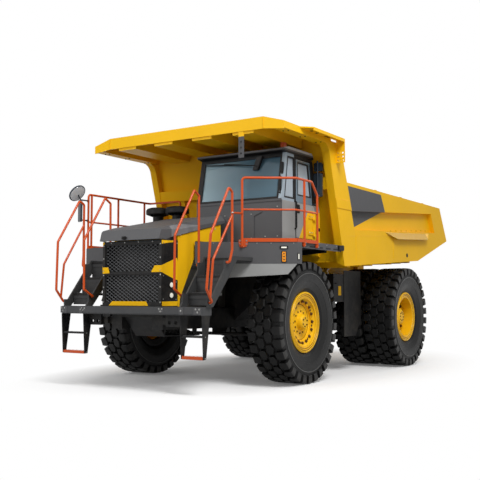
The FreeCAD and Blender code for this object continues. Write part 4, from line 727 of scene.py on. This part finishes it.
def make_deck_parts():
    """Lamps with their frames, bolts, slots and the rail's scalloped flange on the left deck's edge."""
    amber, lens, trim, bolts, flange = (Shape() for _ in range(5))
    for s, x0, x1, z0, z1, lo, hi in (
            (amber, 1.976, 2.028, 2.13, 2.3, -0.002, 0.016), (trim, 1.966, 2.038, 2.118, 2.312, -0.002, 0.01),
            (lens, 1.962, 2.042, 2.36, 2.384, -0.002, 0.014), (trim, 1.942, 2.062, 2.346, 2.4, -0.002, 0.01),
            *((trim, 1.99, 2.014, z, z + 0.024, 0.014, 0.018) for z in (2.153, 2.203, 2.253))):
        s.skin([[on_fascia(x, z, out) for x, z in ((x0 + c, z0), (x1 - c, z0), (x1, z0 + c), (x1, z1 - c),
                                                   (x1 - c, z1), (x0 + c, z1), (x0, z1 - c), (x0, z0 + c))]
                for out, c in ((lo, 0.006), (hi * 0.7, 0.006), (hi, 0.012))])
    scallop = ((1.362, 2.425), (1.385, 2.385), (1.425, 2.37), (1.468, 2.385), (1.49, 2.425), (1.49, 2.505),
               (1.362, 2.505))
    flange.skin([[on_fascia(x, z, out) for x, z in scallop] for out in (-0.002, 0.012)])
    heads = ((1.38, 2.485), (1.472, 2.485), (1.38, 2.43), (1.472, 2.43), (1.425, 2.388))
    bolts.bolts([on_fascia(x, z, 0.012) for x, z in heads], FASCIA_OUT, 0.01)
    bolts.bolts([on_fascia(x, 2.445) for x in (0.8, 1.0, 1.62, 1.82, 2.14)], FASCIA_OUT, 0.008)
    side_lamp = rect(-3.066, 2.175, -3.022, 2.265)
    lens.prism(side_lamp, "x", 2.199, 2.206)
    trim.frame(rect(-3.076, 2.162, -3.012, 2.278), side_lamp, "x", 2.199, 2.208)
    bolts.bolts(product((2.156,), (-2.7, -2.3, -1.9, -1.5), (2.47,)), LEFT, 0.009)
    for y in (-2.86, -2.55, -2.24, -1.93, -1.62):
        slot = ((0, 2.402), (0.18, 2.402), (0.19, 2.414), (0.18, 2.426), (0, 2.426), (-0.01, 2.414))
        trim.prism([(y + along, z) for along, z in slot], "x", 2.15, 2.1585)
    for shape, name, finish in ((amber, "deck_marker", "amber"), (flange, "rail_flange", "orange"),
                                (lens, "deck_lamps", "lens"), (trim, "deck_lamp_frames", "black"),
                                (bolts, "deck_bolts", "steel")):
        shape.done(name, finish)


def make_rail_bolts():
    s = Shape().bolts(product((1.664,), (-4.245, -4.275), (2.89,)), LEFT, 0.01)
    s.bolts(product((1.56,), (-4.733,), (1.465, 1.429)), LEFT, 0.009)
    s.bolts(product((1.56,), (-4.268,), (2.108, 2.072)), LEFT, 0.009)
    s.bolts(product((2.203,), (-2.79, -2.312), (2.413, 2.467)), LEFT, 0.008).done("rail_bolts", "steel")


# ---------- cab
CAB_L, CAB_R = 1.79, -0.05


def screen_y(z):
    """Front face of the cab above the sill."""
    return -2.9 + (z - 3.27) / 0.83 * 0.16


def side_seal(s, outline, grow=0.013, x0=CAB_L - 0.022, x1=CAB_L + 0.004):
    """Rubber band round a side window's opening, as wide to both sides of the outline."""
    middle = [sum(c) / len(outline) for c in zip(*outline)]
    inner, outer = ([[c + (g if c < m else -g) for c, m in zip(point, middle)] for point in outline]
                    for g in (grow, -grow))
    s.frame(outer, inner, "x", x0, x1)


def make_cab_seals():
    s = Shape()
    side_seal(s, [(-2.8, 3.3), (-2.455, 3.3), (-2.455, 4.03), (-2.68, 4.03)])
    side_seal(s, [(-2.79, 3.3), (-1.9, 3.3), (-1.9, 4.03), (-2.68, 4.03)], 0.013, CAB_R - 0.004, CAB_R + 0.018)
    rings = []
    for grow, out in ((-0.02, -0.006), (0.008, -0.006), (0.008, 0.018), (-0.02, 0.018)):
        rings.append([(x, screen_y(max(z, 3.27)) + out, z) for x, z in
                      rect(CAB_R + 0.08 - grow, 3.28 - grow, CAB_L - 0.08 + grow, 4.05 + grow)])
    s.skin(rings, True)
    s.done("cab_seals", "seal")
    s = Shape()
    side_seal(s, [(-2.325, 3.38), (-1.825, 3.38), (-1.935, 3.97), (-2.325, 3.97)])
    s.done("door_window_seal", "seal", "cab_door")


def make_cab_front():
    s = Shape()
    s.prism([(1.13, 3.82), (1.25, 3.82), (1.35, 4.06), (1.23, 4.06)], "y", screen_y(3.95) - 0.06,
            screen_y(3.95) + 0.004, 0.01)
    s.rod((1.22, screen_y(3.87) - 0.06, 3.88), (1.22, screen_y(3.87) - 0.01, 3.88), 0.014, 12, 0.003)
    tip, root = Vector((0.5, screen_y(3.99) - 0.03, 3.99)), Vector((1.22, screen_y(3.9) - 0.052, 3.895))
    s.tube([root, root.lerp(tip, 0.5) + Vector((0, -0.01, 0)), tip], 0.009, 0.05, 8)
    for offset, r in ((0, 0.006), (0.016, 0.009)):
        s.rod(tip + Vector((-0.42, offset, 0.01)), tip + Vector((0.4, offset, -0.045)), r, 8)
    s.tube([(1.3, screen_y(4.0) - 0.02, 4.02), (1.62, screen_y(4.0) - 0.02, 4.03)], 0.008, 0.02, 8)
    s.done("wiper", "black")
    s = Shape()
    s.block(1.728, 1.778, screen_y(3.8) - 0.03, screen_y(3.8) + 0.01, 3.7, 3.92, 0.01)
    s.block(1.725, 1.772, screen_y(3.45) - 0.02, screen_y(3.45) + 0.012, 3.3, 3.66, 0.01)
    for z in (3.76, 3.86, 3.36, 3.6):
        s.rod((1.752, screen_y(z) - 0.034, z), (1.752, screen_y(z) - 0.012, z), 0.01, 10, 0.002)
    s.done("pillar_trim", "black")
    panel = [(-0.02, 2.54), (1.23, 2.54), (1.23, 2.97), (1.395, 3.035), (1.395, 3.06), (-0.02, 3.06)]
    s = Shape().prism(panel, "y", -2.914, -2.899, 0.005)
    s.block(-0.048, 1.788, -2.91, -2.899, 3.215, 3.262).done("cab_front_panels", "dark")
    s = Shape().bolts(product((0.03, 0.6, 1.17), (-2.914,), (2.58, 3.01)), FORE, 0.009)
    s.bolts(((1.7, -2.9, 2.6), (1.7, -2.9, 3.12), (1.45, -2.9, 2.6)), FORE, 0.009)
    s.done("cab_front_bolts", "steel")


def make_door_parts():
    s = Shape().block(CAB_L - 0.002, CAB_L + 0.014, -2.372, -2.255, 3.05, 3.205, 0.008)
    s.tube([(CAB_L + 0.006, -2.345, 3.175), (CAB_L + 0.04, -2.345, 3.165), (CAB_L + 0.04, -2.29, 3.085),
            (CAB_L + 0.006, -2.285, 3.075)], 0.008, 0.02, 8)
    s.rod((CAB_L + 0.01, -2.33, 3.085), (CAB_L + 0.02, -2.33, 3.085), 0.014, 14, 0.003)
    s.done("door_lock", "black", "cab_door")
    s = Shape()
    line = [(-2.385, 2.6), (-1.75, 2.6), (-1.75, 3.3), (-1.88, 4.04), (-2.385, 4.04)]
    side_seal(s, line, 0.004, CAB_L - 0.03, CAB_L - 0.004)
    s.block(CAB_L + 0.0005, CAB_L + 0.009, -2.412, -2.396, 2.56, 4.06, 0.002).done("door_seam", "seal")
    s = Shape()
    s.tube([(CAB_L + out, -2.44, z) for out, z in ((0, 2.75), (0.045, 2.77), (0.045, 3.24), (0, 3.26))], 0.011)
    s.block(CAB_L - 0.001, CAB_L + 0.01, -1.52, -1.47, 2.77, 2.83).done("cab_handrail", "black")
    s = Shape().bolts(product((CAB_L + 0.014,), (-1.9, -1.84, -1.78), (2.72, 3.02)), LEFT, 0.008)
    s.done("hinge_bolts", "steel", "cab_door")


def make_roof_parts():
    s = Shape()
    top = 4.21
    s.block(0.35, 1.15, -2.45, -1.95, top, top + 0.02, 0.008)
    for k in range(9):
        x = 0.42 + k * 0.0825
        s.block(x, x + 0.045, -2.42, -1.98, top + 0.018, top + 0.026, 0.003)
    s.tube([(0.1, -2.2, top - 0.004), (0.1, -2.2, top + 0.05)], 0.012)
    s.done("roof_vent", "black")
    s = Shape().lathe([(0, 0), (0, 0.07), (0.022, 0.07), (0.026, 0.062), (0.026, 0)], (1.6, -2.5, top), UP, 28)
    s.done("beacon_base", "black")


def make_interior():
    s = Shape()
    seat_x = 0.87
    s.block(seat_x - 0.26, seat_x + 0.26, -2.26, -1.74, 2.86, 2.9, 0.015)
    s.block(seat_x - 0.24, seat_x + 0.24, -1.662, -1.63, 2.86, 3.7, 0.012)
    for side in (-1, 1):
        x = seat_x + side * 0.3
        s.block(x - 0.035, x + 0.035, -2.12, -1.7, 3.1, 3.16, 0.015)
        s.tube([(x, -1.72, 3.12), (x, -1.66, 3.0), (seat_x + side * 0.24, -1.65, 2.95)], 0.014)
    s.block(seat_x + 0.42, seat_x + 0.62, -2.3, -1.75, 2.56, 3.0, 0.02)
    s.tube([(seat_x + 0.52, -2.15, 2.99), (seat_x + 0.52, -2.17, 3.14)], 0.01)
    knob = [(0, 0), (0, 0.018), (0.03, 0.026), (0.06, 0.018), (0.066, 0)]
    s.lathe(knob, (seat_x + 0.52, -2.17, 3.13), UP, 16)
    s.done("seat_base_trim", "plastic")
    s = Shape().block(seat_x - 0.26, seat_x + 0.26, -2.64, -2.6, 3.17, 3.31, 0.012)
    for k in range(4):
        s.lathe([(0, 0), (0, 0.04), (0.01, 0.04), (0.014, 0.034), (0.01, 0.032), (0.01, 0)],
                (seat_x - 0.19 + k * 0.127, -2.6, 3.24), AFT, 24)
    s.block(1.3, 1.52, -2.62, -2.585, 3.2, 3.36, 0.01)
    s.block(0.1, 1.64, -2.83, -2.62, 3.245, 3.262, 0.006).done("dash_instruments", "plastic")


def make_glazing():
    """Bonded dark edge that carries the door's pane further than its opening."""
    s = Shape().frame([(-2.372, 3.235), (-1.772, 3.235), (-1.878, 4.01), (-2.372, 4.01)],
                      [(-2.338, 3.367), (-1.812, 3.367), (-1.922, 3.983), (-2.338, 3.983)],
                      "x", CAB_L - 0.001, CAB_L + 0.004)
    s.done("door_glazing_edge", "tint", "cab_door")


def make_mirror_faces():
    # The round mirror's face is pale paint standing in for its reflection: a painted reflection
    dome = [(0.013, 0), (0.013, 0.16), (0.0165, 0.158), (0.021, 0.11), (0.024, 0)]
    s = Shape().lathe(dome, (-2.165, -3.905, 3.52), (0.87, -0.02, -0.67), 48)
    s.done("round_mirror_face", "mirror_painted_reflection")
    s = Shape()
    for z0, z1 in ((3.42, 3.83), (3.905, 4.03)):
        s.block(1.812, 1.951, -1.6625, -1.6595, z0, z1, 0.001)
    s.done("mirror_faces_left", "mirror")


# ---------- seat cushions
def cushion(name, low, high, puff):
    """Box-shaped pad, blown up by the cloth solver by at most puff within the box from low to high."""
    pad = Shape().block(*(c + step for ends in zip(low, high) for c, step in zip(ends, (puff, -puff))), 0.018)
    pad = pad.done(name, "cloth")

    def bake():
        """Makes what the modifiers show the pad's own mesh."""
        shown = pad.evaluated_get(bpy.context.evaluated_depsgraph_get())
        mesh = bpy.data.meshes.new_from_object(shown)
        pad.modifiers.clear()
        pad.data = mesh

    shape = pad.modifiers.new("remesh", "REMESH")
    shape.mode = "VOXEL"
    shape.voxel_size = 0.014
    bpy.context.view_layer.update()
    bake()
    rest = [v.co.copy() for v in pad.data.vertices]
    solver = pad.modifiers.new("cloth", "CLOTH").settings
    solver.use_pressure = True
    solver.uniform_pressure_force = 4.0
    solver.effector_weights.gravity = 0
    for frame_number in range(1, 21):
        bpy.context.scene.frame_set(frame_number)
    bake()
    for vertex, before in zip(pad.data.vertices, rest):
        step = vertex.co - before
        if step.length > puff:
            vertex.co = before + step.normalized() * puff
        vertex.co = [min(max(c, least), most) for c, least, most in zip(vertex.co, low, high)]
    bpy.context.scene.frame_set(1)
    smooth = pad.modifiers.new("soft", "SUBSURF")
    smooth.levels = smooth.render_levels = 1
    for face in pad.data.polygons:
        face.use_smooth = True
    pad.data.materials.clear()
    pad.data.materials.append(MAT["cloth"])
    return pad


def make_cushions():
    seat = cushion("seat_cushion", (0.62, -2.25, 2.895), (1.12, -1.765, 3.01), 0.02)
    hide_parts("seat_pads")
    cushion("seat_back_cushion", (0.63, -1.745, 2.905), (1.11, -1.642, 3.655), 0.018)
    s = Shape()
    for x in (0.74, 1.0):
        s.tube([(x, -2.235, 2.935), (x, -2.2, 3.004), (x, -1.8, 3.004)], 0.004, 0.03, 6)
        s.tube([(x, -1.742, 2.98), (x, -1.742, 3.6)], 0.004, 0.03, 6)
    s.done("seat_seams", "seal")


# ---------- dump body
BODY_X = 2.15
BODY_FRONT, BODY_LOW = -1.14, 2.115
RISE = 0.0622  # of the sides' lower edge, for each metre to the tail


def low_edge(y):
    """Lower edge of the body's sides ahead of the heel."""
    return BODY_LOW + (y - BODY_FRONT) * RISE


def post_front(z):
    """Front edge of the body's leaning front post."""
    return BODY_FRONT - (z - BODY_LOW) * 0.29


def make_body_seams():
    s = Shape()
    x = BODY_X + 0.001
    for radius, *points in (
            (0.004, (x, -0.62, 2.22), (x, -0.62, 2.83)), (0.004, (x, 1.3, 2.36), (x, 1.3, 2.895)),
            (0.006, (x, post_front(3.38) + 0.02, 3.386), (x, -0.89, 3.386)),
            (0.006, (x, post_front(3.21) + 0.02, 3.204), (x, -0.83, 3.204)),
            (0.003, (x, -1.05, 2.7), (x, 2.8, 2.7 + 3.85 * RISE)),
            (0.005, (x - 0.1, post_front(2.84) + 0.48, 2.845), (x - 0.1, 3.95, 3.098))):
        s.tube(points, radius, 0.01, 6)
    s.mirror().done("body_welds", "yellow", "dump_body")
    s = Shape().bolts([(2.176, 1.086 + k * 0.31, 2.934 + k * 0.0217) for k in range(8)], (0.3, 0, 0.95), 0.014)
    s.mirror().done("flap_bolts", "yellow", "dump_body")
    plug = [(-0.02, 0.046), (0.006, 0.046), (0.009, 0.04), (0.009, 0.022), (0.004, 0.018), (0.004, 0)]
    s = Shape().lathe(plug, (BODY_X, 2.111, 2.46), LEFT, 24)
    s.mirror().done("body_plugs", "black", "dump_body")


def make_body_rails():
    """Top rail's bead with its wear strips, and brackets under the sides."""
    s = Shape().tube([(BODY_X - 0.075, -0.98, 3.744), (BODY_X - 0.075, 4.37, 3.744)], 0.016, 0.02, 12)
    for y in (0.4, 1.8, 3.2):
        s.block(BODY_X - 0.15, BODY_X, y - 0.05, y + 0.05, 3.739, 3.752, 0.003)
    s.mirror().done("body_top_beads", "yellow", "dump_body")
    s = Shape()
    for x, y in product((-1.99, 1.99), (0.95, 1.18)):
        s.block(x - 0.012, x + 0.012, y, y + 0.05, low_edge(y) - 0.03, low_edge(y) + 0.05)
    s.done("body_brackets", "yellow", "dump_body")


def make_canopy_parts():
    s = Shape()
    for y in (-2.509, -2.3, -1.948, -1.85):
        s.lathe([(0, 0.03), (0.006, 0.03), (0.006, 0.018), (0, 0.018)], (2.185, y, 4.476), DOWN, 18)
    s.bolts(product((-2.1, -2.0, 2.0, 2.1), (-3.2, -2.6, -2.0), (4.376,)), DOWN)
    s.mirror().done("canopy_fittings", "black", "dump_body")
    s = Shape()
    for rib, side in product((-1.325, -0.44, 0.44, 1.325), (-0.214, 0.214)):
        s.tube([(rib + side, -3.42, 4.352), (rib + side, -1.95, 4.352)], 0.004, 0.01, 6)
    for x in (-1.75, 1.75):
        s.tube([(x, -3.455, 4.606), (x, -3.455, 4.404)], 0.004, 0.01, 6)
    s.done("canopy_welds", "yellow", "dump_body")
    s = Shape().bolts(product((1.296,), (-3.446,), (4.02, 4.12, 4.22)), FORE)
    s.done("stay_bolts", "black", "dump_body")


# ---------- chassis, tanks and drive
def make_tank_parts():
    s = Shape()
    strap = ((0.6, 1.985), (1.405, 1.985), (1.426, 1.93), (1.426, 1.02), (1.38, 0.995), (0.6, 0.995))
    for y in (-0.65, -0.3):
        s.tube([(x, y, z) for x, z in strap], 0.008, 0.05, 6)
    s.lathe([(0, 0), (0, 0.075), (0.045, 0.075), (0.06, 0.062), (0.06, 0)], (0.95, -0.45, 1.975), UP, 24)
    for y in (-0.55, -0.25):
        s.block(1.405, 1.425, y, y + 0.05, 1.5, 1.56, 0.005)
    s.done("tank_straps", "black")
    Shape().prism(rect(-0.4, 1.56, -0.275, 1.748), "x", 1.649, 1.654, 0.002).done("battery_plate", "yellow")
    handle = [(1.652, -0.56, 1.8), (1.69, -0.56, 1.8), (1.69, -0.47, 1.8), (1.652, -0.47, 1.8)]
    s = Shape().tube(handle, 0.007, 0.015, 8)
    s.frame(rect(-0.625, 1.435, -0.155, 1.985), rect(-0.61, 1.45, -0.17, 1.97), "x", 1.648, 1.656)
    s.bolts(product((1.652,), (-0.59,), (1.5, 1.92)), LEFT, 0.009).done("battery_door_trim", "black")
    s = Shape()
    for y in (-0.72, -0.39, -0.06):
        band = [(0, 0.366), (0.02, 0.368), (0.04, 0.366), (0.04, 0.355), (0, 0.355)]
        s.lathe(band, (-0.98, y, 1.5), AFT, 48)
    s.lathe([(0, 0), (0, 0.07), (0.05, 0.07), (0.06, 0.055), (0.06, 0)], (-0.98, -0.4, 1.855), UP, 24)
    s.done("hydraulic_tank_bands", "black")


def make_engine_parts():
    s = Shape()
    for side in (-1, 1):
        cover_x, pipe_x = side * 0.2, side * 0.335
        s.tube([(pipe_x, -3.85, 2.1), (pipe_x, -2.15, 2.1)], 0.055, 0.05, 14)
        for k in range(6):
            y = -3.69 + k * 0.28
            s.block(cover_x - 0.13, cover_x + 0.13, y - 0.11, y + 0.11, 2.255, 2.335, 0.02)
            s.bolts([(cover_x, y, 2.335)], UP, 0.014)
            s.tube([(side * 0.25, y, 2.1), (pipe_x, y, 2.1)], 0.036, 0.02)
    s.lathe([(0, 0), (0, 0.17), (0.06, 0.17), (0.08, 0.12), (0.1, 0.12), (0.12, 0.2), (0.16, 0.2), (0.16, 0)],
            (0, -3.95, 1.62), FORE, 36)
    s.done("engine_covers", "engine")
    s = Shape().lathe([(0, 0.09), (0, 0.11), (0.05, 0.11), (0.05, 0.09)], (0, -4.33, 1.8), FORE, 28)
    for d, c in ring_of(8, 1.0):
        blade = ((0.09, -0.05, -4.34), (0.4, -0.07, -4.32), (0.4, 0.09, -4.38), (0.09, 0.05, -4.38))
        s.skin([[(r * c - w * d, y + back, 1.8 + r * d + w * c) for r, w, y in blade] for back in (0, 0.006)])
    s.tube([(0, -4.37, 1.8), (0, -4.05, 1.66)], 0.05, 0.05, 14)
    s.done("cooling_fan", "black")
    s = Shape()
    for route in ([(0.38, -4.48, 2.33), (0.38, -4.25, 2.36), (0.3, -4.05, 2.3), (0.2, -3.95, 2.2)],
                  [(-0.38, -4.48, 1.4), (-0.38, -4.25, 1.38), (-0.28, -4.05, 1.44), (-0.15, -3.94, 1.5)]):
        s.tube(route, 0.042, 0.1, 12)
    s.done("coolant_pipes", "seal")


def make_drive_parts():
    s = Shape()
    for y, z, r in ((0.27, 1.115, 0.11), (1.37, 1.088, 0.115)):
        s.bolts([(dx, y, z + dz) for dx, dz in ring_of(10, r - 0.022)], AFT, 0.011)
    s.bolts([(dx, REAR_Y + 0.19, TYRE_R + dz) for dx, dz in ring_of(16, 0.345)], AFT, 0.013)
    s.done("driveline_bolts", "steel")
    s = Shape()
    for side in (-1, 1):
        x = side * 1.18
        for z, a in product((1.645, 2.125), (-0.11, 0.11)):
            s.bolts([(x + a, FRONT_Y - 0.135, z)], FORE, 0.014)
        s.tube([(x - side * 0.1, FRONT_Y + 0.12, 1.5), (x - side * 0.22, FRONT_Y + 0.24, 1.52),
                (side * 0.6, FRONT_Y + 0.3, 1.7), (side * 0.5, FRONT_Y + 0.34, 1.6)], 0.016, 0.08, 8)
    s.done("strut_fittings", "black")


def make_rear_lamps():
    boxes, red, amber = Shape(), Shape(), Shape()
    lens = [(0, 0), (0, 0.033), (0.012, 0.033), (0.018, 0.022), (0.02, 0)]
    for x in (-0.46, 0.46):
        boxes.block(x - 0.085, x + 0.085, 2.64, 2.668, 1.585, 1.68, 0.006)
        for s, offset in ((red, -0.04), (amber, 0.04)):
            s.lathe(lens, (x + offset, 2.668, 1.632), AFT, 24)
    boxes.done("rear_lamp_boxes", "black")
    red.done("rear_lamps_red", "red")
    amber.done("rear_lamps_amber", "amber")


def make_filter_bands():
    s = Shape()
    for x in (-1.08, -0.6):
        for z in (2.6, 2.86):
            s.lathe([(0, 0.1505), (0, 0.156), (0.022, 0.156), (0.022, 0.1505)], (x, -2.74, z), UP, 40)
            s.block(x - 0.018, x + 0.018, -2.912, -2.89, z - 0.004, z + 0.026)
        for d, c in ring_of(24, 1.0):
            s.skin([[(x + r * c - w * d, -2.79 + r * d + w * c, z) for r, w, z in
                     ((0.11, -0.003, low), (0.215, -0.003, high), (0.215, 0.003, high), (0.11, 0.003, low))]
                    for low, high in ((3.095, 3.132), (3.115, 3.14))])
    s.done("filter_bands", "black")


def make_hoist_parts():
    for name, side in (("left", 1), ("right", -1)):
        low, top = Vector((side * 0.69, 0.5, 0.88)), Vector((side * 0.69, 1.0, 2.21))
        axis = (top - low).normalized()
        collar = [(-0.045, 0.1205), (-0.045, 0.128), (0.004, 0.128), (0.004, 0.1205)]
        s = Shape().lathe(collar, top - axis * 0.235, axis, 36)
        pipe = ((0.16, -0.125), (0.6, -0.135), (1.05, -0.13))
        s.tube([low + axis * along + Vector((0, out, 0)) for along, out in pipe], 0.014, 0.05, 8)
        s.done("hoist_collar_" + name, "black", "hoist_tube_" + name)


# ---------- stage, light and camera
def make_stage():
    mesh = bpy.data.meshes.new("floor")
    half = 60.0
    mesh.from_pydata([(x, y, 0) for x, y in rect(-half, -half, half, half)], [], [(0, 1, 2, 3)])
    floor = bpy.data.objects.new("floor", mesh)
    COLLECTION.objects.link(floor)
    t = Tree("floor_white")
    round_truck = t.add("ShaderNodeVectorMath", {1: (1 / 2.8, 1 / 5.4, 0)}, operation="MULTIPLY")
    t.link(t.coords, round_truck.inputs[0])
    radius = t.add("ShaderNodeVectorMath", operation="LENGTH")
    t.link(round_truck.outputs[0], radius.inputs[0])
    fade = t.ramp(radius.outputs["Value"], 0.92, 1.35, 0.1, 1.0)
    paths = t.add("ShaderNodeLightPath").outputs
    seen = t.math("MAXIMUM", t.math("MAXIMUM", paths["Is Camera Ray"], paths["Is Glossy Ray"]),
                  paths["Is Transmission Ray"])
    grey = t.mix(paths["Is Camera Ray"], (0.4, 0.4, 0.4), (0.97, 0.97, 0.97))
    mesh.materials.append(t.finish(grey, fade, 0.9, 0.9, Specular_IOR_Level=0.1))
    white = t.add("ShaderNodeEmission", {"Color": (1, 1, 1, 1)})
    t.blend(t.times(fade, seen), t.shader, white, "Material Output")


def make_world():
    """White to the camera, dimmer as a light."""
    t = Tree("studio", bpy.data.worlds)
    bpy.context.scene.world = t.owner
    light, seen = t.tree.nodes["Background"], t.add("ShaderNodeBackground", {"Color": (1, 1, 1, 1)})
    light.inputs["Color"].default_value = (1, 1, 1, 1)
    light.inputs["Strength"].default_value = 0.47
    paths = t.add("ShaderNodeLightPath").outputs
    looked_at = t.math("MAXIMUM", paths["Is Camera Ray"], paths["Is Transmission Ray"])
    t.blend(looked_at, light, seen, "World Output")


def hang(name, data, place, ahead):
    """Object for a light or the camera, looking ahead."""
    holder = bpy.data.objects.new(name, data)
    COLLECTION.objects.link(holder)
    holder.location = place
    holder.rotation_euler = ahead.to_track_quat("-Z", "Y").to_euler()
    return holder


def area_light(name, place, target, size, power):
    lamp = bpy.data.lights.new(name, "AREA")
    lamp.shape = "DISK"
    lamp.size = size
    lamp.energy = power
    hang(name, lamp, place, Vector(target) - Vector(place))


def make_camera():
    camera = bpy.data.cameras.new("camera")
    camera.sensor_width = 36.0
    camera.lens = 57.8
    camera.clip_end = 200.0
    yaw, pitch = 0.5792, 0.0709
    ahead = Vector((-math.sin(yaw) * math.cos(pitch), math.cos(yaw) * math.cos(pitch), math.sin(pitch)))
    bpy.context.scene.camera = hang("camera", camera, (8.5133, -14.5117, 1.573), ahead)


for make in (make_wheels, make_grille, make_nose_accents, make_nose_corners, make_hood_parts,
             make_bumper_parts, make_stair_grips, make_stair_risers, make_deck_parts, make_rail_bolts,
             make_cab_seals, make_cab_front, make_door_parts, make_roof_parts, make_interior, make_glazing,
             make_mirror_faces, make_cushions, make_body_seams, make_body_rails, make_canopy_parts,
             make_tank_parts, make_engine_parts, make_drive_parts, make_rear_lamps, make_filter_bands,
             make_hoist_parts, make_stage, make_world):
    make()
area_light("key", (9.5, -8.0, 14.0), (0.0, -1.0, 2.0), 6.0, 1950.0)
area_light("fill", (-5.0, -14.0, 8.0), (0.0, -1.0, 2.0), 8.0, 480.0)
area_light("back", (2.0, 12.0, 10.0), (0.0, 0.0, 2.0), 8.0, 450.0)
make_camera()
bpy.context.scene.view_settings.view_transform = "Standard"
